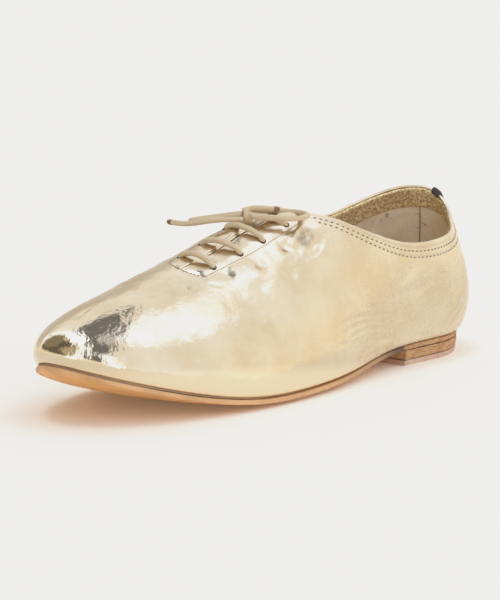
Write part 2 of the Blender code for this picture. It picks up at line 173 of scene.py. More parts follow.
# Taper of the free ends and of their tips
END_TAPER = np.array([1.0, 0.98, 0.92, 0.8, 0.55])
TIP_TAPER = np.array([1.03, 1.03, 1.0, 0.95, 0.84, 0.6])

# Bars of the lace: share of the way over the slit, and height
BAR_ARCH = [(0.10, 1.75), (0.22, 2.25), (0.36, 2.75), (0.5, 2.95), (0.64, 2.75), (0.78, 2.25), (0.90, 1.75)]

# Bow of the lace: x, y, height along each length
KNOT_PATH = [(7.6, -9.8, 66.6), (2.6, -13.8, 67.5), (-1.6, -12.0, 67.9)]
BOW_PATHS = {
    "lace_loop_outer": [
        (4.0, -15.5, 67.3), (11.0, -10.2, 66.8), (17.2, -2.4, 66.2), (15.8, 5.6, 67.0),
        (8.6, 5.2, 67.7), (4.2, -1.0, 68.3), (1.5, -7.2, 68.6), (0.7, -11.6, 68.2),
    ],
    "lace_loop_inner": [
        (-0.5, -15.8, 67.6), (-7.0, -21.2, 66.4), (-13.8, -26.8, 65.2), (-21.0, -23.2, 64.5),
        (-17.6, -15.6, 65.2), (-11.3, -13.0, 66.3), (-6.5, -12.8, 67.2), (-1.4, -13.2, 67.7),
    ],
    "lace_end_inner": [(1.5, -17.4, 65.9), (-7.0, -24.5, 65.7), (-17.0, -28.5, 64.0), (-28.0, -29.0, 64.0)],
    "lace_end_outer": [(-1.0, -15.2, 69.0), (2.0, -12.2, 70.0), (5.5, -7.6, 69.8), (8.4, -3.4, 69.3)],
}

# Turn of the lace round the knot: middle, direction, radii across and over it, half of its pitch
WRAP_MIDDLE = np.array([0.6, -13.4, 67.2])
WRAP_AXIS = np.array([0.80, 0.60, 0.03])
WRAP_RADII = (2.7, 2.5)
WRAP_PITCH = 0.75

# Creases of the leather: stations and shares along each, depth of the trough (a ridge below zero), half width
CREASES = [
    ([(5.71, 0.83), (5.54, 0.80), (5.36, 0.78)], 0.35, 1.3),
    ([(5.91, 0.79), (5.62, 0.755), (5.37, 0.71)], 0.50, 1.8),
    ([(6.02, 0.67), (5.74, 0.645), (5.40, 0.625)], -0.35, 1.8),
    ([(6.12, 0.73), (5.86, 0.69), (5.58, 0.67)], 0.35, 1.7),
    ([(3.83, 0.80), (3.94, 0.76), (4.02, 0.74)], 0.18, 0.9),
    ([(5.42, 0.28), (5.84, 0.30), (6.66, 0.245), (7.26, 0.205)], 0.18, 0.9),
    ([(5.56, 0.25), (6.20, 0.245), (7.44, 0.15)], 0.20, 0.9),
    ([(5.66, 0.215), (6.30, 0.205), (7.10, 0.14)], 0.18, 0.8),
    ([(5.74, 0.18), (6.36, 0.17), (7.00, 0.12)], 0.20, 0.8),
    ([(5.96, 0.14), (6.58, 0.13), (7.14, 0.09)], 0.28, 1.1),
    ([(6.24, 0.105), (6.82, 0.095), (7.44, 0.075)], 0.28, 1.1),
    ([(4.88, 0.295), (5.16, 0.25), (5.54, 0.22)], 0.15, 0.8),
    ([(5.02, 0.24), (5.36, 0.21), (5.82, 0.185)], 0.15, 0.8),
    ([(4.38, 0.495), (4.16, 0.47), (4.10, 0.395)], 0.16, 0.7),
    ([(4.52, 0.545), (4.36, 0.48), (4.18, 0.395)], 0.20, 0.8),
    ([(4.56, 0.54), (4.46, 0.485)], 0.12, 0.6),
    ([(4.40, 0.37), (4.36, 0.305)], 0.12, 0.7),
    ([(8.68, 0.095), (9.00, 0.22), (9.30, 0.32)], 0.32, 1.2),
    ([(8.80, 0.07), (9.10, 0.14), (9.36, 0.225)], 0.28, 1.1),
    ([(9.02, 0.06), (9.40, 0.085), (9.78, 0.115)], 0.28, 1.2),
    ([(7.58, 0.20), (8.16, 0.245), (8.74, 0.30)], -0.25, 1.8),
    ([(7.56, 0.29), (7.90, 0.32), (8.20, 0.36)], -0.20, 1.6),
    ([(-5.30, 0.22), (-5.75, 0.21), (-6.20, 0.16)], 0.30, 1.5),
    ([(-5.90, 0.20), (-6.40, 0.20), (-6.90, 0.17)], 0.30, 1.5),
    ([(-6.30, 0.10), (-6.90, 0.11), (-7.50, 0.09)], 0.32, 1.5),
    ([(-8.90, 0.24), (-8.75, 0.16), (-8.55, 0.10)], 0.30, 1.4),
    ([(-9.30, 0.26), (-9.10, 0.17), (-8.90, 0.09)], 0.28, 1.4),
    ([(-5.90, 0.76), (-5.68, 0.72), (-5.45, 0.66)], 0.40, 1.8),
    ([(-4.10, 0.55), (-4.18, 0.48), (-4.20, 0.40)], 0.22, 1.2),
    ([(-4.45, 0.58), (-4.40, 0.50), (-4.30, 0.42)], 0.20, 1.2),
]

# Dents of the leather: station, share, depth, radius
DENTS = [
    (5.82, 0.73, 1.35, 5.0),
    (4.22, 0.80, 0.75, 2.6),
    (4.74, 0.76, 0.85, 3.0),
    (5.32, 0.77, 0.80, 2.8),
    (4.50, 0.66, 0.50, 3.6),
    (5.05, 0.64, 0.55, 4.0),
    (1.75, 0.55, 0.30, 6.0),
    (-5.70, 0.73, 0.70, 4.5),
]

# Slack of the leather: length and steepness of each wave
SLACK_WAVES = [(7.0, 0.0026), (9.0, 0.0030), (12.0, 0.0032), (16.0, 0.0034), (21.0, 0.0036), (28.0, 0.0036)]

# Rows of stitches along the collar: distance below its edge
COLLAR_ROWS = (3.3, 6.1)

# Stitches of each seam: pitch, length, radius, rise
COLLAR_STITCHES = ((2.6, 1.5, 0.26, 1.0), (2.6, 1.5, 0.21, 1.0))
FACING_STITCH = (2.6, 1.4, 0.22, 1.0)
EYESTAY_STITCH = (1.6, 1.25, 0.15, 0.5)
STRIP_STITCH = (2.4, 1.4, 0.2, 0.6)

# Collar's rolled edge, fold, sewn channels and the puff between them: rise, distance below the edge, half width
COLLAR_WAVES = [
    (0.34, 0.8, 0.85), (-0.20, 2.1, 0.35), (-0.22, COLLAR_ROWS[0], 0.45), (0.14, 4.7, 0.9),
    (-0.20, COLLAR_ROWS[1], 0.45),
]

# Rows of the upper: distances above the feather, and below the top
UPPER_LOW_ROWS = (0.0, 0.25, 0.55, 0.95, 1.5, 2.3, 3.4)
UPPER_HIGH_ROWS = (0.0, 0.25, 0.5, 0.8, 1.1, 1.45, 1.8, 2.1, 2.4, 2.8, 3.3, 3.9, 4.6, 5.2, 5.7, 6.1, 6.5, 7.0,
                   7.8, 9.0)

# Rounding of the crest of the forepart: reach and step across it, last station, width of the blur
CREST_REACH = 14.0
CREST_STEP = 0.35
CREST_BACK = 3.7
CREST_BLUR = 3.6

# Rows of the outsole's underside: share of the way in to the centre line. Rounding and narrowing of its edge.
SOLE_ROWS = (1.0, 0.9, 0.75, 0.6, 0.45, 0.3, 0.2, 0.12, 0.07)
SOLE_ROUND = 0.55
WAIST_TUCK = 1.1

# Rows of the insole: share of the way in to the centre line, share of the thickness
INSOLE_ROWS = [
    (1.0, 0.0), (0.5, 0.0), (0.0, 0.0), (0.0, 0.7), (0.02, 0.93), (0.06, 1.0), (0.2, 1.0), (0.4, 1.0),
    (0.6, 1.0), (0.8, 1.0), (1.0, 1.0),
]

# One layer of the heel: share of its height, and how far its edge is tucked in
HEEL_LAYER = [(0.0, 0.14), (0.07, 0.04), (0.2, 0.0), (0.5, -0.03), (0.8, 0.0), (0.93, 0.04), (1.0, 0.14)]

# Height of the rolled edge over the cut edge of the leather, and of the eyestay over the vamp
EDGE_ROLL = 0.5
EYESTAY_LIFT = 0.6


# Last

def natural_curve(knots, values):
    """Cubic curve through the values with free ends, as knots, values and bends."""
    knots = np.array(knots, float)
    values = np.array(values, float)
    count = len(knots)
    span = np.diff(knots)
    system = np.zeros((count, count))
    change = np.zeros(count)
    system[0, 0] = 1.0
    system[-1, -1] = 1.0
    for i in range(1, count - 1):
        system[i, i - 1:i + 2] = (span[i - 1], 2.0 * (span[i - 1] + span[i]), span[i])
        change[i] = 3.0 * ((values[i + 1] - values[i]) / span[i]
                           - (values[i] - values[i - 1]) / span[i - 1])
    return knots, values, np.linalg.solve(system, change)


def read_curve(curve, t):
    """Values of a natural curve at t."""
    knots, values, bends = curve
    t = np.asarray(t, float)
    i = np.clip(np.searchsorted(knots, t) - 1, 0, len(knots) - 2)
    span = knots[i + 1] - knots[i]
    step = t - knots[i]
    cubic = (bends[i + 1] - bends[i]) / (3.0 * span)
    linear = (values[i + 1] - values[i]) / span - span * (2.0 * bends[i] + bends[i + 1]) / 3.0
    return values[i] + linear * step + bends[i] * step ** 2 + cubic * step ** 3


def closed_curve(rows):
    """Smooth closed curve through the rows, one unit of its parameter a row."""
    rows = np.array(rows, float)
    count = len(rows)
    system = 4.0 * np.eye(count)
    for i in range(count):
        system[i, (i - 1) % count] += 1.0
        system[i, (i + 1) % count] += 1.0
    change = 3.0 * (np.roll(rows, -1, axis=0) - np.roll(rows, 1, axis=0))
    return rows, np.linalg.solve(system, change)


def read_closed(curve, s):
    """Rows and their rates of change at parameters s of a closed curve."""
    rows, slopes = curve
    count = len(rows)
    s = np.asarray(s, float)
    base = np.floor(s)
    u = (s - base)[..., None]
    a = base.astype(int) % count
    b = (a + 1) % count
    value = ((2 * u ** 3 - 3 * u ** 2 + 1) * rows[a] + (u ** 3 - 2 * u ** 2 + u) * slopes[a]
             + (3 * u ** 2 - 2 * u ** 3) * rows[b] + (u ** 3 - u ** 2) * slopes[b])
    rate = ((6 * u ** 2 - 6 * u) * rows[a] + (3 * u ** 2 - 4 * u + 1) * slopes[a]
            + (6 * u - 6 * u ** 2) * rows[b] + (3 * u ** 2 - 2 * u) * slopes[b])
    return value, rate


def last_rows():
    """Rows of the last once round: heel back, inner side, toe tip, outer side."""
    rows = []
    for station in range(-HEEL, HEEL):
        side = abs(station)
        y, x_outer, x_inner, _ = FEATHER[side]
        crest_y, crest_x, crest_z = CREST[side]
        x = x_outer if station > 0 else x_inner
        full = FULLNESS[side][:4] if station > 0 else FULLNESS[side][4:]
        rows.append((x, y, crest_x, crest_y, crest_z) + tuple(full))
    return rows


def collar_knots():
    """Collar heights from the outer throat round the heel to the inner throat."""
    outer = [(station, high) for station, high, _ in COLLAR]
    inner = [(2 * HEEL - station, high) for station, _, high in COLLAR[-2::-1]]
    return zip(*(outer + inner))


RING = closed_curve(last_rows())
SEAT = natural_curve([row[0] for row in FEATHER], [row[3] for row in FEATHER])
COLLAR_LINE = natural_curve(*collar_knots())


def unit(vectors):
    """Vectors of length one."""
    return vectors / np.maximum(np.linalg.norm(vectors, axis=-1, keepdims=True), 1e-9)


def feet(k):
    """Feather line points, the outward directions there and the rows of the last."""
    row, rate = read_closed(RING, np.asarray(k, float) + HEEL)
    out = unit(np.stack([rate[..., 1], -rate[..., 0], 0.0 * rate[..., 0]], -1))
    foot = np.stack([row[..., 0], row[..., 1], read_curve(SEAT, row[..., 1])], -1)
    return foot, out, row


def last_point(k, share):
    """Points of the last at shares of the profile, 0 at the feather and 1 at the crest."""
    foot, out, row = feet(k)
    crest = row[..., 2:5]
    low = foot + out * row[..., 5:6] + UP * row[..., 6:7]
    high = crest + out * row[..., 7:8] - UP * row[..., 8:9]
    v = np.asarray(share, float)[..., None]
    w = 1.0 - v
    return w ** 3 * foot + 3 * w ** 2 * v * low + 3 * w * v ** 2 * high + v ** 3 * crest


def last_normal(k, share):
    """Outward normals of the last, shared by both sides on the crest."""
    k = np.asarray(k, float)
    share = np.asarray(share, float)
    step = 0.01

    def side_normal(station):
        along = last_point(station + step, share) - last_point(station - step, share)
        upward = last_point(station, share + step) - last_point(station, share - step)
        return unit(np.cross(along, upward))

    own = side_normal(k)
    both = unit(own + side_normal(-k))
    return np.where((share > 0.9999)[..., None], both, own)


def skin(k, share, out):
    """Points at a distance outside the last."""
    k, share, out = np.broadcast_arrays(np.asarray(k, float), np.asarray(share, float), out)
    return last_point(k, share) + last_normal(k, share) * out[..., None]


def share_at(k, height):
    """Shares of the profiles at which they reach the heights."""
    k = np.asarray(k, float)
    low = np.zeros(k.shape)
    high = np.ones(k.shape)
    for _ in range(36):
        middle = (low + high) / 2.0
        below = last_point(k, middle)[..., 2] < height
        low = np.where(below, middle, low)
        high = np.where(below, high, middle)
    return (low + high) / 2.0


def collar_height(k):
    """Heights of the collar's cut edge behind the throat, under its rolled edge."""
    k = np.asarray(k, float)
    return read_curve(COLLAR_LINE, np.where(k > 0, k, 2 * HEEL + k)) - EDGE_ROLL


def rim_share(k):
    """Shares of the profiles that are leather, up to the slit's edge or the collar."""
    k = np.asarray(k, float)
    side = np.abs(k)
    _, _, row = feet(k)
    half = SLIT_HALF * np.clip((side - SLIT_FRONT) / SLIT_TAPER, 0.0, 1.0)
    share = 1.0 - half / (3.0 * row[..., 7])
    cut = share_at(k, collar_height(k))
    return np.where(side > SLIT_BACK, np.minimum(share, cut), share)


def wrap(along):
    """Stations from a running count that goes on over the heel back to the inner side."""
    along = np.asarray(along, float)
    return np.where(along <= HEEL, along, along - 2 * HEEL)


def smooth_step(low, high, value):
    """Soft step from 0 at low to 1 at high."""
    t = np.clip((value - low) / (high - low), 0.0, 1.0)
    return t * t * (3.0 - 2.0 * t)


# Meshes

def metres(points):
    """Points of the tables as points of the part, in metres from its origin."""
    return (np.asarray(points, float) - CENTRE) * MM


def run_length(points):
    """Lengths along lines of points, from the first point of each."""
    steps = np.linalg.norm(np.diff(points, axis=-2), axis=-1)
    return np.concatenate([np.zeros_like(steps[..., :1]), np.cumsum(steps, axis=-1)], axis=-1)


def read_line(at, length, line):
    """Points or directions at lengths along one line."""
    return np.stack([np.interp(at, length, line[:, axis]) for axis in range(3)], -1)


def grid_faces(rows, columns, closed_rows=False, closed_columns=False, start=0):
    """Quads of a grid of points stored row by row."""
    i = np.arange(rows if closed_rows else rows - 1)[:, None]
    j = np.arange(columns if closed_columns else columns - 1)[None, :]
    here = i * columns
    there = ((i + 1) % rows) * columns
    after = (j + 1) % columns
    return np.stack([here + j, there + j, there + after, here + after], -1).reshape(-1, 4) + start


def turn_out(mesh, weld):
    """Weld a mesh if asked, and turn its faces outwards."""
    bm = bmesh.new()
    bm.from_mesh(mesh)
    if weld:
        bmesh.ops.remove_doubles(bm, verts=bm.verts, dist=weld * MM)
        bmesh.ops.dissolve_degenerate(bm, dist=0.001 * MM, edges=bm.edges)
        loose = [vert for vert in bm.verts if not vert.link_faces]
        bmesh.ops.delete(bm, geom=loose, context="VERTS")
    bmesh.ops.recalc_face_normals(bm, faces=bm.faces)
    bm.to_mesh(mesh)
    bm.free()


def add_piece(name, points, faces, materials, indices=None, weld=0.0, lay=None, sharp=None):
    """Mesh piece that rides on the shoe, from points in millimetres, with a lay map if it is a tube."""
    mesh = bpy.data.meshes.new(name)
    faces = faces.tolist() if isinstance(faces, np.ndarray) else faces
    mesh.from_pydata(metres(points).tolist(), [], faces)
    for material in materials:
        mesh.materials.append(material)
    if indices is not None:
        mesh.polygons.foreach_set("material_index", np.asarray(indices, np.int32))
    mesh.polygons.foreach_set("use_smooth", np.ones(len(mesh.polygons), bool))
    if lay is None:
        turn_out(mesh, weld)
    else:
        corner = np.zeros(len(mesh.loops), np.int32)
        mesh.loops.foreach_get("vertex_index", corner)
        mesh.uv_layers.new(name="lay").data.foreach_set("uv", lay[corner].astype(np.float32).ravel())
    if sharp is not None:
        mesh.set_sharp_from_angle(angle=math.radians(sharp))
    mesh.update()
    piece = bpy.data.objects.new(name, mesh)
    bpy.context.scene.collection.objects.link(piece)
    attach(piece, "root")
    return piece


def dress(piece, slot, *replaced):
    """Hide the nodes of the part that a piece stands for. The slot is not used."""
    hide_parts(*replaced)


def smooth_path(points, spacing):
    """Points at an even spacing along a smooth path through the given ones."""
    points = np.array(points, float)
    length = run_length(points)
    count = max(4, int(round(length[-1] / spacing)))
    t = np.linspace(0.0, length[-1], count + 1)
    return np.stack([read_curve(natural_curve(length, points[:, axis]), t) for axis in range(3)], -1)


def limp_path(points, spacing, rounds):
    """Smooth path eased by rounds of averaging, so that its bends are as wide as a limp cord's."""
    path = smooth_path(points, spacing)
    for _ in range(rounds):
        path[1:-1] += 0.5 * (0.5 * (path[:-2] + path[2:]) - path[1:-1])
    return path


def tube(path, radii, around):
    """Points, faces and lay of a round tube along a path, closed at both ends."""
    count = len(path)
    radii = np.broadcast_to(np.asarray(radii, float), (count,))
    ahead = unit(np.gradient(path, axis=0))
    side = unit(np.cross(ahead[0], UP if abs(ahead[0][2]) < 0.9 else np.array([1.0, 0.0, 0.0])))
    angles = 2.0 * math.pi * np.arange(around) / around
    points = []
    for i in range(count):
        side = unit(side - ahead[i] * np.dot(side, ahead[i]))
        other = np.cross(ahead[i], side)
        ring = np.cos(angles)[:, None] * side + np.sin(angles)[:, None] * other
        points.append(path[i] + ring * radii[i])
    lay = np.stack([np.repeat(run_length(path), around), np.tile(angles / (2.0 * math.pi), count)], -1)
    faces = grid_faces(count, around, closed_columns=True).tolist()
    faces.append(list(range(around))[::-1])
    faces.append(list(range((count - 1) * around, count * around)))
    return np.concatenate(points), faces, lay


def add_tubes(name, parts, material):
    """One piece from the points, faces and lay of several tubes."""
    faces = []
    start = 0
    for points, part_faces, _ in parts:
        faces += [[index + start for index in face] for face in part_faces]
        start += len(points)
    points = np.concatenate([part[0] for part in parts])
    return add_piece(name, points, faces, [material], lay=np.concatenate([part[2] for part in parts]))


# Relief of the leather

def crease_line(places):
    """Points along a smooth crease on the last through stations and shares."""
    knots = np.linspace(0.0, 1.0, len(places))
    t = np.linspace(0.0, 1.0, 91)
    k, v = [read_curve(natural_curve(knots, values), t) for values in zip(*places)]
    return t, last_point(k, v)


def relief(points):
    """Height of the creased leather over the last at points on it."""
    flat = points.reshape(-1, 3)
    height = np.zeros(len(flat))
    for places, depth, half in CREASES:
        t, line = crease_line(places)
        low = line.min(axis=0) - 4.0 * half
        high = line.max(axis=0) + 4.0 * half
        near = np.all((flat > low) & (flat < high), axis=1).nonzero()[0]
        gap = np.linalg.norm(flat[near][:, None, :] - line[None], axis=2)
        reach = gap.min(axis=1) / half
        fade = np.sin(math.pi * np.clip(t[gap.argmin(axis=1)], 0.02, 0.98)) ** 0.8
        trough = np.exp(-reach ** 2) - 0.5 * np.exp(-((reach - 1.9) / 0.9) ** 2)
        height[near] -= depth * fade * trough
    for station, share, depth, radius in DENTS:
        gap = np.linalg.norm(flat - last_point(station, share), axis=1) / radius
        height -= depth * np.exp(-gap ** 2)
    chance = np.random.default_rng(7)
    slack = np.zeros(len(flat))
    for wave, steep in SLACK_WAVES:
        for _ in range(2):
            way = unit(chance.normal(size=3))
            slack += steep * wave * np.sin(2.0 * math.pi * (flat @ way) / wave + chance.uniform(0.0, 6.3))
    height += slack * (0.25 + 0.75 * smooth_step(-105.0, -70.0, flat[:, 1]))
    return height.reshape(points.shape[:-1])


def collar_relief(k, drop):
    """Height of the rolled collar edge and its sewn channels at a distance below the edge."""
    height = sum(rise * np.exp(-((drop - middle) / half) ** 2) for rise, middle, half in COLLAR_WAVES)
    return height * smooth_step(6.05, 6.45, np.abs(k))


# Materials

class Paint:
    """Node tree of a material or of the world, with short ways to add to it."""

    def __init__(self, tree):
        self.nodes = tree.nodes
        self.links = tree.links

    def fill(self, inputs, values):
        """Set sockets by name or number, or link outputs to them."""
        for key, value in values.items():
            if isinstance(value, bpy.types.NodeSocket):
                self.links.new(value, inputs[key])
            elif inputs[key].type == "RGBA":
                inputs[key].default_value = value + (1.0,)
            else:
                inputs[key].default_value = value

    def add(self, kind, inputs, **settings):
        """Outputs of a new node with the given inputs and settings."""
        made = self.nodes.new(kind)
        for name, value in settings.items():
            setattr(made, name, value)
        self.fill(made.inputs, inputs)
        return made.outputs

    def math(self, operation, *values):
        """Result of one operation."""
        return self.add("ShaderNodeMath", dict(enumerate(values)), operation=operation)[0]

    def mix(self, factor, first, second):
        """Mix of two colours."""
        return self.add("ShaderNodeMix", {0: factor, 6: first, 7: second}, data_type="RGBA")[2]

    def blend(self, factor, first, second):
        """Mix of two values."""
        return self.add("ShaderNodeMix", {0: factor, 2: first, 3: second}, data_type="FLOAT")[0]

    def ramp(self, value, low, high, start=0.0, end=1.0):
        """Value mapped from one range to another, softly."""
        inputs = {"Value": value, "From Min": low, "From Max": high, "To Min": start, "To Max": end}
        return self.add("ShaderNodeMapRange", inputs, interpolation_type="SMOOTHSTEP")["Result"]

    def bump(self, height, strength, distance, **below):
        """Bump of a height, over another bump if that is given as Normal."""
        inputs = {"Strength": strength, "Distance": distance, "Height": height}
        return self.add("ShaderNodeBump", inputs | below)["Normal"]

    def place(self):
        """Coordinates of the shoe, in metres."""
        return self.add("ShaderNodeTexCoord", {})["Object"]

    def stretch(self, place, scale, rotation=(0.0, 0.0, 0.0)):
        """Coordinates turned and scaled."""
        return self.add("ShaderNodeMapping", {"Vector": place, "Rotation": rotation, "Scale": scale})["Vector"]

    def apart(self, place):
        """The three coordinates of a place."""
        return self.add("ShaderNodeSeparateXYZ", {0: place})

    def noise(self, place, scale, detail=3.0, rough=0.5):
        """Noise of a scale, in cycles a metre."""
        inputs = {"Vector": place, "Scale": scale, "Detail": detail, "Roughness": rough}
        return self.add("ShaderNodeTexNoise", inputs)["Fac"]


def new_material(name):
    """Principled material, its paint and the inputs of its shader."""
    material = bpy.data.materials.new(name)
    material.use_nodes = True
    paint = Paint(material.node_tree)
    return material, paint, paint.nodes["Principled BSDF"].inputs


def darker(colour, share):
    """Colour at a share of its brightness."""
    return tuple(share * c for c in colour)


def foil_leather(name, dark, light, gloss, grain, metal, mottle=55.0, dent_shade_spots=(), low=None):
    """Metal foil on fine grained leather, with its gloss at toe, vamp and heel, and grey painted shade at the
    given dent spots.

    Low down, just over the feather, it is paler if low is given, a painted reflection of the bright floor.
    """
    material, paint, shader = new_material(name)
    place = paint.place()
    colour = paint.mix(paint.ramp(paint.noise(place, mottle, 4.0, 0.55), 0.3, 0.7), dark, light)
    broken = paint.ramp(paint.noise(place, 330.0), 0.38, 0.56, 0.3, 1.0)
    # Grey painted shade in the dents, broken up by noise
    for spot, reach, strength in dent_shade_spots:
        away = paint.add("ShaderNodeVectorMath", {0: place, 1: metres(spot)}, operation="DISTANCE")["Value"]
        wear_and_painted_shade = paint.math("MULTIPLY", paint.ramp(away, 0.2 * reach * MM, reach * MM, strength, 0.0), broken)
        colour = paint.mix(wear_and_painted_shade, colour, DENT_SHADE_COLOUR)
    _, y, z = paint.apart(place)
    # Paler low band: painted reflection of the bright floor
    if low is not None:
        over_spring = paint.math("MULTIPLY_ADD", y, TOE_SPRING, z)
        colour = paint.mix(paint.ramp(over_spring, 0.0060, 0.0125, 0.9, 0.0), colour, low)
    toe = paint.ramp(y, -0.100, -0.055, gloss[0], gloss[1])
    heel = paint.ramp(y, -0.015, 0.035, 0.0, gloss[2] - gloss[1])
    speckle = paint.ramp(paint.noise(place, 420.0), 0.3, 0.7, -0.035, 0.035)
    rough = paint.math("ADD", paint.math("ADD", toe, heel), speckle)
    pebble = paint.bump(paint.noise(place, 900.0, 2.0), grain, 0.00028)
    slant = paint.stretch(place, (1.0, 0.6, 0.35), (0.0, 0.3, 0.5))
    folds = paint.bump(paint.noise(slant, 400.0, 1.5, 0.4), 0.75 * grain, 0.001, Normal=pebble)
    paint.fill(shader, {"Base Color": colour, "Metallic": metal, "Roughness": rough, "Normal": folds,
                        "Coat Weight": 0.15, "Coat Roughness": 0.12})
    return material


def suede(name, dark, light, wear_and_painted_shade=0.0):
    """Brushed leather with a soft nap, and a few dark marks of wear."""
    material, paint, shader = new_material(name)
    place = paint.place()
    colour = paint.mix(paint.ramp(paint.noise(place, 90.0, 6.0, 0.65), 0.32, 0.68), dark, light)
    mark = paint.ramp(paint.noise(place, 210.0, 3.0, 0.6), 0.64, 0.72, 0.0, wear_and_painted_shade)
    colour = paint.mix(mark, colour, darker(dark, 0.45))
    nap = paint.bump(paint.noise(place, 2600.0, 4.0, 0.7), 0.5, 0.0002)
    paint.fill(shader, {"Base Color": colour, "Roughness": 0.92, "Sheen Weight": 0.25, "Normal": nap})
    return material


def sole_leather(name, dark, light, rough, painted_waist_shade=None):
    """Smooth bottom leather with faint scratches along the shoe, with painted shade making it darker towards the
    heel if a shade colour is given.
    """
    material, paint, shader = new_material(name)
    place = paint.place()
    along = paint.stretch(place, (1.0, 0.25, 1.0))
    patch = paint.noise(along, 160.0, 6.0, 0.6)
    colour = paint.mix(paint.ramp(patch, 0.3, 0.7), dark, light)
    # Painted shade under the waist, darkest in the corner before the heel's breast
    if painted_waist_shade is not None:
        _, y, _ = paint.apart(place)
        colour = paint.mix(paint.ramp(y, -0.02, 0.045), colour, painted_waist_shade)
        colour = paint.mix(paint.ramp(y, 0.030, 0.052), colour, darker(painted_waist_shade, 0.3))
    grain = paint.bump(paint.noise(along, 1500.0, 4.0, 0.6), 0.35, 0.00015)
    paint.fill(shader, {"Base Color": colour, "Normal": grain,
                        "Roughness": paint.ramp(patch, 0.3, 0.7, rough, rough + 0.15)})
    return material


def stacked_leather(name, dark, light, layers):
    """Raw cut edge of stacked leather, with fibres along the layers."""
    material, paint, shader = new_material(name)
    place = paint.place()
    fibre = paint.noise(paint.stretch(place, (0.35, 0.35, layers)), 900.0, 6.0, 0.7)
    pits = paint.noise(place, 700.0, 5.0, 0.7)
    streak = paint.mix(paint.ramp(fibre, 0.32, 0.68), dark, light)
    colour = paint.mix(paint.ramp(pits, 0.55, 0.72, 0.0, 0.55), streak, darker(dark, 0.55))
    lines = paint.bump(fibre, 0.5, 0.0003, Normal=paint.bump(pits, 0.7, 0.0005))
    paint.fill(shader, {"Base Color": colour, "Roughness": 0.82, "Normal": lines})
    return material


def cotton(name, dark, light):
    """Round braided lace: two sets of strands crossing at a slant along the lay map."""
    material, paint, shader = new_material(name)
    along, around, _ = paint.apart(paint.add("ShaderNodeUVMap", {}, uv_map="lay")["UV"])
    waves = []
    for slant in (6.0, -6.0):
        run = paint.math("MULTIPLY_ADD", along, 1.1, paint.math("MULTIPLY", around, slant))
        waves.append(paint.math("SINE", paint.math("MULTIPLY", run, 2.0 * math.pi)))
    weave = paint.math("MAXIMUM", *waves)
    fuzz = paint.noise(paint.place(), 1500.0, 5.0, 0.7)
    strand = paint.mix(paint.ramp(weave, -0.4, 1.0), dark, light)
    colour = paint.mix(paint.ramp(fuzz, 0.35, 0.75, 0.0, 0.35), strand, dark)
    hairs = paint.bump(fuzz, 0.4, 0.0002, Normal=paint.bump(weave, 0.45, 0.00025))
    paint.fill(shader, {"Base Color": colour, "Roughness": 0.75, "Sheen Weight": 0.15, "Normal": hairs})
    return material


def thread(name, dark, light):
    """Sewing thread."""
    material, paint, shader = new_material(name)
    colour = paint.mix(paint.ramp(paint.noise(paint.place(), 900.0), 0.3, 0.7), dark, light)
    paint.fill(shader, {"Base Color": colour, "Roughness": 0.7})
    return material


# Painted shade of the dents near the collar's front corner: middle, reach and strength
DENT_SHADE_SPOTS = [((17.0, 2.8, 59.2), 4.6, 0.85), ((18.2, -0.8, 57.2), 4.6, 0.85), ((14.6, -4.0, 61.8), 3.4, 0.5)]
DENT_SHADE_COLOUR = (0.36, 0.295, 0.19)
TOE_SPRING = 0.10
# Gold foil with grey painted shade in the dents near the collar corner
# The low colour paints the floor's reflection onto the lower band of the foil
GOLD = foil_leather("gold_foil", (0.688, 0.552, 0.366), (0.745, 0.634, 0.468), (0.07, 0.19, 0.29), 0.22, 0.97,
                    dent_shade_spots=DENT_SHADE_SPOTS, low=(0.90, 0.77, 0.55))
FACING = foil_leather("gold_facing_grain", (0.46, 0.31, 0.115), (1.0, 0.84, 0.50), (0.36, 0.36, 0.36), 0.9, 0.5,
                      mottle=900.0)
LINING = suede("lining_nap", (0.75, 0.58, 0.385), (0.89, 0.73, 0.52), 0.8)
SOLE = sole_leather("sole_tan", (0.72, 0.37, 0.13), (0.84, 0.47, 0.19), 0.42)
# Cut edge of the sole, with painted shade at the waist and before the heel's breast
SOLE_CUT = sole_leather("sole_edge", (0.62, 0.34, 0.15), (0.76, 0.46, 0.23), 0.50, (0.44, 0.25, 0.12))
HEEL_BODY = stacked_leather("heel_cut", (0.40, 0.20, 0.08), (0.66, 0.40, 0.20), 1.3)
HEEL_TIP = stacked_leather("heel_tip_cut", (0.58, 0.36, 0.24), (0.72, 0.50, 0.37), 1.2)
STRIP = suede("strip_brown", (0.040, 0.030, 0.022), (0.075, 0.058, 0.044))
LACE = cotton("lace_braid", (0.54, 0.38, 0.21), (0.92, 0.75, 0.50))
LACE_TIP = thread("lace_tip", (0.21, 0.12, 0.065), (0.31, 0.19, 0.11))
THREAD_DARK = thread("thread_brown", (0.17, 0.11, 0.06), (0.29, 0.20, 0.11))
# Painted shade inside the punched eyelets
EYELET_SHADE = thread("eyelet_painted_shade", (0.05, 0.035, 0.025), (0.11, 0.08, 0.055))
THREAD_TAN = thread("thread_tan", (0.34, 0.24, 0.13), (0.48, 0.35, 0.20))


# Upper

def ring_stations():
    """Stations once round the shoe from the heel back, with one at the slit's end."""
    front = np.linspace(0.0, 4.0, 151)
    front[np.abs(front - SLIT_FRONT).argmin()] = SLIT_FRONT
    outer = np.concatenate([front, np.linspace(4.0, HEEL, 261)[1:]])
    inner = np.concatenate([front, np.linspace(4.0, HEEL, 151)[1:]])
    return np.concatenate([-inner[:0:-1], outer[:-1]])


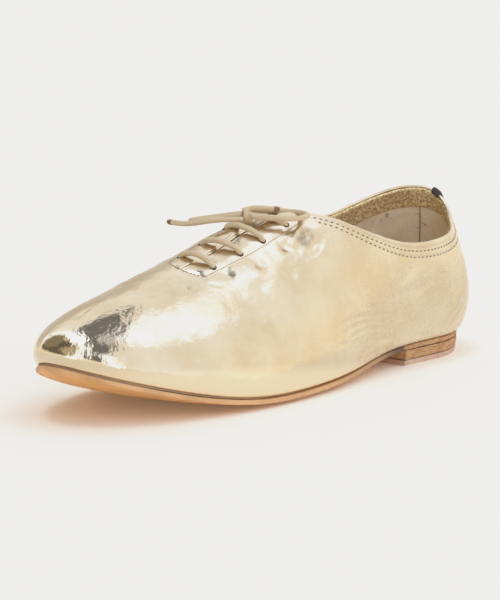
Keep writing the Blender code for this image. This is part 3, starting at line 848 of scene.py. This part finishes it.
def profile_rows(stations, from_low, from_high, middle):
    """Shares of each profile at rows spaced from both ends, their distances below the top, and whole lengths."""
    rim = rim_share(stations)
    fine = np.linspace(0.0, 1.0, 121)
    length = run_length(last_point(stations[:, None], rim[:, None] * fine))
    shares = []
    drops = []
    for i, whole in enumerate(length[:, -1]):
        core = np.linspace(from_low[-1], whole - from_high[-1], middle + 2)[1:-1]
        at = np.concatenate([from_low, core, whole - np.array(from_high[::-1])])
        shares.append(rim[i] * np.interp(at, length[i], fine))
        drops.append(whole - at)
    return np.array(shares), np.array(drops), length[:, -1]


def soften_crest(stations, points, drops):
    """Round the ridge where both sides of the forepart meet along the crest."""
    along = np.arange(0.0, CREST_REACH + CREST_STEP, CREST_STEP)
    both = np.concatenate([-along[:0:-1], along])
    share = smooth_step(CREST_REACH, 0.5 * CREST_REACH, np.abs(both))[:, None]
    out = points.copy()
    for station in stations[(stations > 0.0) & (stations <= CREST_BACK)]:
        blur = CREST_BLUR * min(1.0, station / 0.9) * (1.0 - float(smooth_step(3.2, CREST_BACK, station)))
        if blur < 0.2:
            continue
        sides = []
        for signed in (station, -station):
            line = last_point(signed, np.linspace(1.0, 0.2, 161))
            sides.append(read_line(along, run_length(line), line))
        strip = np.concatenate([sides[1][:0:-1], sides[0]])
        kernel = np.exp(-((both[:, None] - both[None]) / blur) ** 2 / 2.0)
        soft = (kernel / kernel.sum(axis=1, keepdims=True)) @ strip
        strip = strip + share * (soft - strip)
        for sign in (1.0, -1.0):
            row = int(np.abs(stations - sign * station).argmin())
            near = drops[row] < CREST_REACH
            out[row, near] = read_line(sign * drops[row, near], both, strip)
    return out


def leather_rows(stations, low, high, middle):
    """Stations, shares and drops of rows up the upper, its softened points, and lengths above the feather."""
    shares, drops, whole = profile_rows(stations, low, high, middle)
    k = np.broadcast_to(stations[:, None], shares.shape)
    points = soften_crest(stations, last_point(k, shares), drops)
    return k, shares, drops, points, whole[:, None] - drops


def add_upper():
    """Hollow upper: creased foil outside, lining inside, rolled edges."""
    stations = ring_stations()
    k, shares, drops, points, rise = leather_rows(stations, UPPER_LOW_ROWS, UPPER_HIGH_ROWS, 80)
    tuck = 0.75 * np.clip(1.0 - rise / 1.6, 0.0, 1.0) ** 2
    lift = (relief(points) * smooth_step(0.0, 4.0, rise) + collar_relief(k, drops)) - tuck
    outside = points + last_normal(k, shares) * lift[..., None]
    k, shares, _, points, rise = leather_rows(stations, (0.0, 1.0), (0.0, 0.8, 1.8), 16)
    lift = relief(points) * smooth_step(0.0, 4.0, rise) - WALL
    inside = points + last_normal(k, shares) * lift[..., None]

    middle = (outside[:, -1] + inside[:, -1]) / 2.0
    across = (outside[:, -1] - inside[:, -1]) / 2.0
    upward = unit(outside[:, -1] - outside[:, -3]) * np.linalg.norm(across, axis=1, keepdims=True)
    turns = np.radians((30.0, 60.0, 90.0, 120.0, 150.0))
    rim = np.stack([middle + across * math.cos(a) + upward * math.sin(a) for a in turns], axis=1)

    rows, columns_out = outside.shape[:2]
    columns_in = inside.shape[1]
    first_in = rows * columns_out
    row = np.arange(rows)
    row_out = row * columns_out
    row_in = first_in + row * columns_in
    row_rim = first_in + rows * columns_in + np.arange(rim.shape[1]) + row[:, None] * rim.shape[1]
    here = np.column_stack([row_out + columns_out - 1, row_rim, row_in + columns_in - 1])
    there = np.roll(here, -1, axis=0)
    over = np.stack([here[:, :-1], there[:, :-1], there[:, 1:], here[:, 1:]], -1)
    open_edge = np.abs(stations) >= SLIT_FRONT
    bottom = np.stack([row_out, row_in, np.roll(row_in, -1), np.roll(row_out, -1)], -1)
    faces = [grid_faces(rows, columns_out, closed_rows=True),
             grid_faces(rows, columns_in, closed_rows=True, start=first_in)[:, ::-1],
             over[open_edge & np.roll(open_edge, -1)].reshape(-1, 4), bottom]
    lined = np.tile(np.arange(columns_in - 1) < columns_in - 3, rows)
    indices = np.concatenate([np.zeros(len(faces[0])), lined, np.zeros(len(faces[2])), np.ones(rows)])
    every = np.concatenate([grid.reshape(-1, 3) for grid in (outside, inside, rim)])
    piece = add_piece("upper_leather", every, np.concatenate(faces), [GOLD, LINING], indices, weld=0.012)
    dress(piece, "gold_leather", "upper")


def add_sheet_piece(name, outer, inner, materials, replaced, slot):
    """Closed thin piece from the grids of its two faces, last material inside."""
    rows, columns = outer.shape[:2]
    count = rows * columns
    number = np.arange(count).reshape(rows, columns)
    sides = np.stack([number[:, 0], number[:, -1]], -1)
    ends = np.stack([number[0], number[-1]])
    edge = np.concatenate([np.stack([sides[:-1].ravel(), sides[1:].ravel()], -1),
                           np.stack([ends[:, :-1].ravel(), ends[:, 1:].ravel()], -1)])
    faces = [grid_faces(rows, columns), grid_faces(rows, columns, start=count)[:, ::-1],
             np.concatenate([edge, edge[:, ::-1] + count], axis=1)]
    indices = np.zeros(sum(len(part) for part in faces))
    indices[len(faces[0]):2 * len(faces[0])] = len(materials) - 1
    every = np.concatenate([outer.reshape(-1, 3), inner.reshape(-1, 3)])
    piece = add_piece(name, every, np.concatenate(faces), materials, indices, weld=0.004)
    dress(piece, slot, replaced)


def eyestay_low(k):
    """Shares of the eyestay's lower edge, with its corners rounded."""
    table = np.array(EYESTAY_EDGE)
    side = np.abs(np.asarray(k, float))
    total = np.zeros(side.shape)
    offsets = np.linspace(-0.05, 0.05, 9)
    for offset in offsets:
        spot = np.clip(side + offset, table[0, 0], table[-1, 0])
        outer = np.interp(spot, table[:, 0], table[:, 1])
        inner = np.interp(spot, table[:, 0], table[:, 2])
        total += np.where(np.asarray(k) > 0, outer, inner)
    soft = total / len(offsets)
    return np.where(side < 3.78, np.interp(side, table[:, 0], table[:, 1]), soft)


def add_eyestay():
    """Eyestay round the slit, skived thin at its sewn edge."""
    side = np.concatenate([np.linspace(3.72, 4.2, 60), np.linspace(4.22, 6.22, 130)])
    stations = np.concatenate([-side[::-1], side])
    low = eyestay_low(stations)
    t = np.linspace(0.0, 1.0, 34) ** 1.25
    shares = low[:, None] + (rim_share(stations) - low)[:, None] * t
    k = np.broadcast_to(stations[:, None], shares.shape)
    points = last_point(k, shares)
    length = run_length(points)
    normal = last_normal(k, shares)
    base = relief(points)
    skive = 0.20 * smooth_step(0.0, 0.9, length) + (EYESTAY_LIFT - 0.14) * smooth_step(0.8, 4.5, length) - 0.06
    channel = -0.06 * np.exp(-((length - 0.9) / 0.3) ** 2)
    turn = -0.5 * np.clip(1.0 - (length[:, -1:] - length) / 0.7, 0.0, 1.0) ** 2
    outer = points + normal * (base + skive + channel + turn)[..., None]
    inner = points + normal * (base - 0.10)[..., None]
    add_sheet_piece("eyestay_leather", outer, inner, [GOLD], "eyestay", "gold_leather")


def add_tongue():
    """Tongue under the slit."""
    stations = np.linspace(3.7, 6.0, 90)
    shares = np.concatenate([np.linspace(0.80, 1.0, 26), np.linspace(1.0, 0.80, 26)[1:]])
    sign = np.concatenate([np.ones(26), -np.ones(25)])
    k = stations[:, None] * sign[None]
    v = np.broadcast_to(shares[None], k.shape)
    end = smooth_step(5.9, 6.0, stations)[:, None] * 0.3
    outer = skin(k, v, -WALL - CLEAR - end)
    inner = skin(k, v, -WALL - CLEAR - TONGUE_THICK + end)
    add_sheet_piece("tongue_leather", outer, inner, [GOLD, LINING], "tongue", "gold_leather")


def add_facing():
    """Facing inside the collar, its lower edge left raw and sewn down."""
    k = wrap(np.linspace(FACING_FRONT, 2 * HEEL - FACING_FRONT, 420))
    drop = np.linspace(FACING_DEPTH, 0.0, 18)
    stations = np.broadcast_to(k[:, None], (len(k), len(drop)))
    shares = share_at(stations, collar_height(k)[:, None] - drop[None])
    channel = sum(-0.18 * np.exp(-((drop - row) / 0.5) ** 2) for row in COLLAR_ROWS)
    edge = 0.35 * np.clip(1.0 - (FACING_DEPTH - drop) / 0.8, 0.0, 1.0) ** 2
    edge = edge + 0.6 * np.clip(1.0 - drop / 1.3, 0.0, 1.0) ** 2
    outer = skin(stations, shares, -WALL - 0.1)
    inner = skin(stations, shares, -WALL - CLEAR - FACING_THICK - channel + edge)
    add_sheet_piece("collar_facing_leather", outer, inner, [FACING], "collar_facing", "gold_facing")


def add_back_strip():
    """Strip sewn over the back seam, folded over the collar's edge to the inside."""
    count = 25
    k = wrap(np.linspace(HEEL - STRIP_HALF, HEEL + STRIP_HALF, count))
    rim = rim_share(k)
    edge = 1.0 - np.abs(np.linspace(-1.0, 1.0, count)) ** 6
    up = np.linspace(0.0, 1.0, 70)
    roll = 0.32 * np.exp(-((1.0 - up) * 55.0 - 0.9) ** 2)
    base = CLEAR * 0.35
    angles = np.radians(np.linspace(20.0, 180.0, 10))[:, None]
    outer = []
    inner = []
    for i in range(count):
        shares = 0.02 + (rim[i] - 0.02) * up
        top = base + 0.12 + (STRIP_THICK + CLEAR - base - 0.12) * edge[i]
        middle = skin(k[i], rim[i], -WALL / 2.0)
        way = last_normal(k[i], rim[i]) * np.cos(angles) + UP * np.sin(angles)
        for grid, lift, reach in ((outer, top, top), (inner, base, base + 0.1)):
            fold = middle + way * (WALL / 2.0 + reach)
            grid.append(np.vstack([skin(k[i], shares, lift + roll), fold]))
    add_sheet_piece("back_strip_leather", np.array(outer), np.array(inner), [STRIP], "back_strip", "strip_dark")


# Sole and heel

def spine_points(k):
    """Points on the sole's centre line for stations."""
    outer, _, _ = feet(np.abs(k))
    inner, _, _ = feet(-np.abs(k))
    table = np.array(FEATHER)
    y = np.clip(outer[:, 1], SOLE_SPINE_FRONT, SOLE_SPINE_BACK)
    held = np.interp(y, table[:, 0], (table[:, 1] + table[:, 2]) / 2.0)
    x = np.where(y != outer[:, 1], held, (outer[:, 0] + inner[:, 0]) / 2.0)
    return np.stack([x, y], -1)


def sole_bottom(y, inward):
    """Heights of the sole's underside, rounded across and flat where it stands."""
    fade = np.clip((SWELL_FADE_END - y) / (SWELL_FADE_END - SWELL_FADE_START), 0.0, 1.0)
    swell = SOLE_SWELL * fade * (1.0 - (1.0 - inward) ** 2)
    floor = HEEL_SEAT * np.clip((y - SWELL_FADE_END + 1.0) / 1.0, 0.0, 1.0)
    return np.maximum(read_curve(SEAT, y) - CLEAR - SOLE_EDGE - swell, floor)


def raised(flat, height):
    """Points over flat ones."""
    return np.concatenate([flat, np.broadcast_to(height, len(flat))[:, None]], axis=1)


def add_ring_piece(name, rows, materials, indices, replaced, slot):
    """Piece from rows of points once round the shoe."""
    grid = np.stack(rows, axis=1)
    faces = grid_faces(grid.shape[0], grid.shape[1], closed_rows=True)
    dress(add_piece(name, grid.reshape(-1, 3), faces, materials, indices, weld=0.02), slot, replaced)


def add_outsole():
    """Outsole with a rounded, lighter cut edge, with painted shade at the waist."""
    stations = ring_stations()
    foot, out, _ = feet(stations)
    spine = spine_points(stations)
    edge = (foot + out * SOLE_MARGIN)[:, :2]
    margin = (SOLE_MARGIN - WAIST_TUCK * smooth_step(5.0, 7.6, np.abs(stations)))[:, None]
    rows = []
    for inward in SOLE_ROWS:
        flat = edge + (spine - edge) * inward
        rows.append(raised(flat, sole_bottom(flat[:, 1], inward)))
    cut_start = len(rows)
    low = sole_bottom(edge[:, 1], 0.0)
    thick = read_curve(SEAT, edge[:, 1]) - CLEAR - low
    for angle in np.linspace(0.0, math.pi, 13):
        reach = margin - SOLE_ROUND + SOLE_ROUND * abs(math.sin(angle)) ** 0.7
        rows.append(raised((foot + out * reach)[:, :2], low + thick * (0.5 - 0.5 * math.cos(angle))))
    cut_end = len(rows)
    for inward in (0.1, 0.5, 1.0):
        flat = edge + (spine - edge) * inward
        rows.append(raised(flat, read_curve(SEAT, flat[:, 1]) - CLEAR))
    column = np.arange(len(rows) - 1)
    edge_kind = np.where(np.abs(stations) > HEEL_BREAST - 0.05, 2, 1)
    indices = np.where((column >= cut_start) & (column < cut_end), edge_kind[:, None], 0).ravel()
    add_ring_piece("outsole_leather", rows, [SOLE, SOLE_CUT, HEEL_BODY], indices, "outsole", "sole_leather")


def add_insole():
    """Insole in the bottom of the upper."""
    stations = ring_stations()
    foot, out, _ = feet(stations)
    spine = spine_points(stations)
    edge = (foot - out * INSOLE_INSET)[:, :2]
    rows = []
    for inward, lift in INSOLE_ROWS:
        flat = edge + (spine - edge) * inward
        rows.append(raised(flat, read_curve(SEAT, flat[:, 1]) + lift * INSOLE_THICK))
    add_ring_piece("insole_lining", rows, [LINING], None, "insole", "lining_suede")


def heel_outline(inset, steps):
    """Outline of the heel, straight across the breast and round the back."""
    foot, out, _ = feet(wrap(np.linspace(HEEL_BREAST, 2 * HEEL - HEEL_BREAST, steps)))
    round_back = (foot - out * inset)[:, :2]
    breast = round_back[-1] + (round_back[0] - round_back[-1]) * np.linspace(0.0, 1.0, 26)[1:-1, None]
    return np.concatenate([round_back, breast])


def add_heel(name, inset, low, high, taper, layers, material, replaced, slot):
    """Heel block of stacked layers with slightly uneven cut edges."""
    outline = heel_outline(inset, 150)
    around = len(outline)
    centre = outline.mean(axis=0)
    inward = unit(centre - outline)
    thick = (high - low) / layers
    rows = []
    chance = np.random.default_rng(3)
    angle = np.linspace(0.0, 2.0 * math.pi, around, endpoint=False)
    for layer in range(layers):
        wander = sum(0.05 * np.sin(angle * turns + chance.uniform(0.0, 6.3)) for turns in (5, 9, 14, 23))
        for share, tuck in HEEL_LAYER:
            height = low + thick * (layer + share)
            slope = taper * (1.0 - (height - low) / (high - low))
            rows.append(raised(outline + inward * (slope + tuck + wander[:, None]), height))
    bottom = len(rows) * around
    points = np.vstack(rows + [[*centre, low], [*centre, high]])
    faces = grid_faces(len(rows), around, closed_columns=True).tolist()
    for i in range(around):
        j = (i + 1) % around
        faces.append([i, j, bottom])
        faces.append([bottom - around + j, bottom - around + i, bottom + 1])
    dress(add_piece(name, points, faces, [material], sharp=50.0), slot, replaced)


# Stitches

def stitch_row(line, normal, pitch, long, radius, rise):
    """Short tubes of thread along a line, each dipping into the leather at both ends."""
    length = run_length(line)
    count = int(length[-1] / pitch)
    arch = np.array([-0.25, 0.06, 0.12, 0.06, -0.25]) * rise
    radii = radius * np.array([0.7, 1.0, 1.0, 1.0, 0.7])
    parts = []
    for i in range(count):
        at = (i + 0.5) * length[-1] / count + np.linspace(-0.5, 0.5, 5) * long
        up = unit(read_line(at, length, normal))
        parts.append(tube(read_line(at, length, line) + up * arch[:, None], radii, 6))
    return parts


def share_along(k, low, measure, steps):
    """Shares of the profiles from low to the rim, at the lengths that measure makes of the whole ones."""
    rim = rim_share(k)
    fine = np.linspace(0.0, 1.0, steps)
    length = run_length(last_point(k[:, None], low[:, None] + (rim - low)[:, None] * fine))
    at = measure(length[:, -1])
    return np.array([low[i] + (rim[i] - low[i]) * np.interp(at[i], length[i], fine) for i in range(len(k))])


def add_seams():
    """Stitches of the collar outside and inside, of the eyestay and of the back strip."""
    outside = []
    inside = []
    for start, end in ((6.28, HEEL - 0.2), (HEEL + 0.2, 2 * HEEL - 6.28)):
        k = wrap(np.linspace(start, end, 300))
        for row, stitch in zip(COLLAR_ROWS, COLLAR_STITCHES):
            v = share_along(k, np.zeros(len(k)), lambda whole: whole - row, 121)
            base = last_point(k, v)
            normal = last_normal(k, v)
            lift = relief(base) + collar_relief(k, np.full(k.shape, row))
            outside += stitch_row(base + normal * lift[:, None], normal, *stitch)
            under = base - normal * (WALL + CLEAR + FACING_THICK - 0.15)
            inside += stitch_row(under, -normal, *FACING_STITCH)
    add_tubes("collar_stitches", outside, THREAD_DARK)
    add_tubes("facing_stitches", inside, THREAD_TAN)

    edge = []
    for sign in (1.0, -1.0):
        k = sign * np.concatenate([np.linspace(3.745, 3.9, 60), np.linspace(3.905, 6.2, 240)])
        v = share_along(k, eyestay_low(k), lambda whole: np.minimum(0.9, 0.45 * whole), 41)
        base = last_point(k, v)
        normal = last_normal(k, v)
        edge += stitch_row(base + normal * (relief(base) + 0.14)[:, None], normal, *EYESTAY_STITCH)
    add_tubes("eyestay_stitches", edge, THREAD_TAN)

    lining = []
    for k in (-10.42, 10.42):
        v = np.linspace(0.12, 0.97 * float(rim_share(k)), 70)
        lining.append(tube(skin(np.full(v.shape, k), v, -WALL - 0.12), 0.32, 8))
    add_tubes("lining_seams", lining, THREAD_TAN)

    strip = []
    for side in (-0.78, 0.78):
        k = wrap(np.full(160, HEEL + side * STRIP_HALF))
        v = np.linspace(0.05, 0.97, 160) * rim_share(k)
        normal = last_normal(k, v)
        strip += stitch_row(last_point(k, v) + normal * (CLEAR + STRIP_THICK), normal, *STRIP_STITCH)
    add_tubes("strip_stitches", strip, THREAD_DARK)


def add_eyelets():
    """Dark discs of painted shade at the punched eyelets round the lace, sunk a little into the eyestay."""
    parts = []
    around = 20
    turns = (2.0 * math.pi * np.arange(around) / around)[:, None]
    sizes = (0.3, 0.9, EYELET_RADIUS, EYELET_RADIUS + EYELET_LIP)
    for ko, vo, ki, vi in EYELETS:
        for k, v in ((ko, vo), (-ki, vi)):
            normal = last_normal(k, v)
            ahead = unit(np.cross(normal, UP))
            ring = np.cos(turns) * ahead + np.sin(turns) * np.cross(normal, ahead)
            rings = []
            for radius in sizes:
                flat = skin(k, v, 0.0) + ring * radius
                lift = EYESTAY_LIFT + 0.05 - 0.2 * smooth_step(EYELET_RADIUS, sizes[-1], radius)
                rings.append(flat + normal * (relief(flat) + lift)[:, None])
            faces = grid_faces(len(sizes), around, closed_columns=True).tolist()
            faces.append(list(range(around)))
            parts.append((np.concatenate(rings), faces, np.zeros((len(sizes) * around, 2))))
    add_tubes("eyelet_shade_discs", parts, EYELET_SHADE)


# Lace

def add_lace(name, path, radii=LACE_RADIUS, around=LACE_AROUND, material=LACE):
    """Piece of the lace along a path."""
    return add_tubes(name, [tube(path, radii, around)], material)


def across_slit(outer_k, outer_v, inner_k, inner_v, t, rise):
    """Point over the slit, a share of the way from the outer eyelet to the inner one."""
    k = outer_k + (inner_k - outer_k) * t
    if t <= 0.5:
        return skin(k, outer_v + (1.0 - outer_v) * t / 0.5, rise)
    return skin(-k, inner_v + (1.0 - inner_v) * (1.0 - t) / 0.5, rise)


def add_bars():
    """Bars of the lace, each up through the outer eyelet, over the slit and down the inner one."""
    for number, (ko, vo, ki, vi) in enumerate(EYELETS[:-1], start=1):
        points = [skin(ko, vo, BAR_END), skin(ko, vo, 0.2)]
        points += [across_slit(ko, vo, ki, vi, t, rise) for t, rise in BAR_ARCH]
        points += [skin(-ki, vi, 0.2), skin(-ki, vi, BAR_END)]
        path = smooth_path(points, BAR_SPACING)
        swell = 1.0 + 0.05 * np.sin(np.linspace(0.0, math.pi, len(path)))
        bar = add_lace("lace_bar_%d_braid" % number, path, LACE_RADIUS * swell)
        dress(bar, "lace_cotton", "lace_bar_%d" % number)


def add_bow():
    """Knot, loops and free ends of the lace."""
    ko, vo, ki, vi = EYELETS[-1]
    points = [skin(ko, vo - 0.05, KNOT_END), skin(ko, vo, 0.4)] + KNOT_PATH
    points += [skin(-ki, vi, 0.4), skin(-ki, vi - 0.05, KNOT_END)]
    paths = {"lace_knot": limp_path(points, LACE_SPACING, KNOT_ROUNDS)}
    pieces = {"lace_knot": add_lace("lace_knot_braid", paths["lace_knot"])}

    axis = unit(WRAP_AXIS)
    side = unit(np.cross(axis, UP))
    over = np.cross(side, axis)
    turns = (np.linspace(-0.15, 1.1, 46) * 2.0 * math.pi)[:, None]
    band = (WRAP_MIDDLE + side * WRAP_RADII[0] * np.cos(turns) + over * WRAP_RADII[1] * np.sin(turns)
            + axis * (turns / math.pi - 1.0) * WRAP_PITCH)
    wrap_piece = add_lace("lace_wrap_braid", band)

    for name, points in BOW_PATHS.items():
        path = limp_path(points, LACE_SPACING, LOOP_ROUNDS if "loop" in name else 0)
        radii = np.full(len(path), LACE_RADIUS)
        if "end" in name:
            radii[-len(END_TAPER):] *= END_TAPER
        paths[name] = path
        pieces[name] = add_lace(name + "_braid", path, radii)
    for name, piece in pieces.items():
        dress(piece, "lace_cotton", name)
    tip_inner, tip_outer = [
        add_lace(name + "_tip", paths[name][-len(TIP_TAPER):], LACE_RADIUS * TIP_TAPER, 14, LACE_TIP)
        for name in ("lace_end_inner", "lace_end_outer")]


# Stage, light and camera

# Floor: half its size in metres, its colour, and the glow of the lit table
FLOOR_HALF = 12.0
FLOOR_COLOUR = (0.98, 0.93, 0.835)
FLOOR_GLOW = (1.0, 0.82, 0.58)


def add_stage():
    """Pale floor."""
    corners = [(x * FLOOR_HALF, y * FLOOR_HALF, 0.0) for x, y in ((-1, -1), (1, -1), (1, 1), (-1, 1))]
    mesh = bpy.data.meshes.new("floor")
    mesh.from_pydata(corners, [], [(0, 1, 2, 3)])
    material, paint, shader = new_material("floor_paper")
    paint.fill(shader, {"Base Color": FLOOR_COLOUR, "Roughness": 0.7,
                        "Emission Color": FLOOR_GLOW, "Emission Strength": 0.07})
    mesh.materials.append(material)
    floor = bpy.data.objects.new("floor", mesh)
    bpy.context.scene.collection.objects.link(floor)


def direction(azimuth, elevation):
    """Unit vector towards a place round the shoe, azimuth 0 in front of the toe, 90 at the outer side."""
    a = math.radians(azimuth)
    e = math.radians(elevation)
    return (math.sin(a) * math.cos(e), -math.cos(a) * math.cos(e), math.sin(e))


# Light round the shoe. Each patch lies between two angles from its middle (azimuth, elevation), and within
# an angle of a second place, with its softness in degrees, its brightness and its colour.
SURROUND = 1.06
BACKDROP = 1.1
LOW_COLOUR = (1.07, 1.0, 0.86)
HIGH_COLOUR = (0.965, 1.0, 1.06)
COOL = (0.88, 1.0, 1.26)
PALE = (0.97, 1.0, 1.08)
GREY = (0.94, 1.0, 1.13)
BROWN = (1.14, 1.0, 0.71)
GOLDEN = (1.06, 1.0, 0.88)
PATCHES = [
    ((75.0, 10.0), 0.0, 38.0, (75.0, 10.0), 70.0, 15.0, 1.09, PALE),
    ((-36.0, 30.0), 45.0, 55.5, (-20.0, 60.0), 66.0, 2.5, 1.5, COOL),
    ((-36.0, 30.0), 0.0, 42.0, (-36.0, 90.0), 80.0, 4.0, 0.13, BROWN),
    ((-68.0, 44.0), 0.0, 21.0, (-68.0, 44.0), 60.0, 3.0, 0.26, BROWN),
    ((14.0, 38.0), 0.0, 22.0, (-36.0, 30.0), 42.0, 4.0, 0.52, BROWN),
    ((-36.0, 30.0), 55.5, 73.0, (60.0, 66.0), 52.0, 2.0, 0.22, GREY),
    ((-36.0, 30.0), 66.0, 71.0, (120.0, 80.0), 9.0, 2.0, 0.85, GREY),
    ((-35.0, 0.0), 83.0, 97.0, (55.0, 12.0), 38.0, 3.0, 1.5, COOL),
    ((147.0, 63.0), 0.0, 13.0, (147.0, 63.0), 40.0, 5.0, 1.5, COOL),
    ((-36.0, 80.0), 0.0, 5.5, (-36.0, 80.0), 40.0, 3.0, 10.0, PALE),
    ((-122.0, 8.0), 0.0, 26.0, (-122.0, 8.0), 60.0, 8.0, 0.64, GOLDEN),
]


def add_light():
    """Pale surround with soft lights overhead and dark openings in front of the toe."""
    world = bpy.data.worlds.new("studio")
    bpy.context.scene.world = world
    world.use_nodes = True
    paint = Paint(world.node_tree)
    place = paint.add("ShaderNodeTexCoord", {})["Generated"]

    def within(spot, angle, soft):
        low = math.cos(math.radians(min(179.0, angle + soft)))
        high = math.cos(math.radians(max(0.1, angle - soft)))
        near = paint.add("ShaderNodeVectorMath", {0: place, 1: direction(*spot)}, operation="DOT_PRODUCT")
        return paint.ramp(near["Value"], low, high)

    _, _, height = paint.apart(place)
    colour = paint.mix(paint.ramp(height, -0.15, 0.9), LOW_COLOUR, HIGH_COLOUR)
    value = SURROUND
    for spot, start, end, region, reach, soft, bright, tint in PATCHES:
        mask = paint.math("MULTIPLY", within(spot, end, soft), within(region, reach, 2.0 * soft))
        if start > 0.0:
            beyond = paint.math("SUBTRACT", 1.0, within(spot, start, soft))
            mask = paint.math("MULTIPLY", mask, beyond)
        value = paint.blend(mask, value, bright)
        colour = paint.mix(mask, colour, tint)
    seen = paint.add("ShaderNodeLightPath", {})["Is Camera Ray"]
    paint.fill(paint.nodes["Background"].inputs, {"Strength": paint.blend(seen, value, BACKDROP), "Color": colour})


# Camera: azimuth and elevation in degrees, distance from the place it turns about, the place it aims at
VIEW_AZIMUTH = 39.5
VIEW_ELEVATION = 8.7
VIEW_DISTANCE = 862.0
VIEW_TARGET = np.array([0.0, 0.0, 30.0])
VIEW_AIM = np.array([-9.4, -0.3, 31.0])
FOCAL_PIXELS = 1432.0 * 1.5
FRAME_HEIGHT = 600.0
SENSOR = 36.0


def add_camera():
    """Camera at the low three-quarter view of the outer side and toe."""
    data = bpy.data.cameras.new("camera")
    data.sensor_width = SENSOR
    data.lens = FOCAL_PIXELS * SENSOR / FRAME_HEIGHT
    data.clip_start = 0.01
    data.clip_end = 50.0
    camera = bpy.data.objects.new("camera", data)
    bpy.context.scene.collection.objects.link(camera)
    eye = VIEW_TARGET + np.array(direction(VIEW_AZIMUTH, VIEW_ELEVATION)) * VIEW_DISTANCE
    camera.location = Vector(metres(eye))
    aim = Vector(metres(VIEW_AIM)) - camera.location
    camera.rotation_mode = "QUATERNION"
    camera.rotation_quaternion = aim.to_track_quat("-Z", "Y")
    bpy.context.scene.camera = camera


# Film response: light and its level, with a soft shoulder
TONE = [(0.04, 0.1), (0.12, 0.3), (0.2, 0.505), (0.26, 0.665), (0.3, 0.765), (0.33, 0.828), (0.36, 0.856),
        (0.45, 0.868), (0.7, 0.876)]
TONE_END = (1.0, 0.88)
TONE_WHITE = 2.5


def set_tone():
    """Film response, so that bright reflections pale to white."""
    view = bpy.context.scene.view_settings
    view.view_transform = "Standard"
    view.look = "None"
    view.use_curve_mapping = True
    mapping = view.curve_mapping
    mapping.white_level = (TONE_WHITE,) * 3
    curve = mapping.curves[3]
    for spot, level in TONE:
        curve.points.new(spot, level)
    curve.points[-1].location = TONE_END
    mapping.update()


add_camera()
add_bars()
add_bow()
add_eyelets()
add_upper()
add_eyestay()
add_tongue()
add_facing()
add_back_strip()
add_outsole()
add_insole()
add_heel("heel_stack_leather", HEEL_INSET, TOP_PIECE_HEIGHT + CLEAR, HEEL_SEAT - CLEAR, 0.5, 2, HEEL_BODY,
         "heel_stack", "heel_leather")
add_heel("heel_top_piece_leather", HEEL_INSET + 0.5, 0.0, TOP_PIECE_HEIGHT, 0.2, 1, HEEL_TIP,
         "heel_top_piece", "top_piece_leather")
add_seams()
add_stage()
add_light()
set_tone()
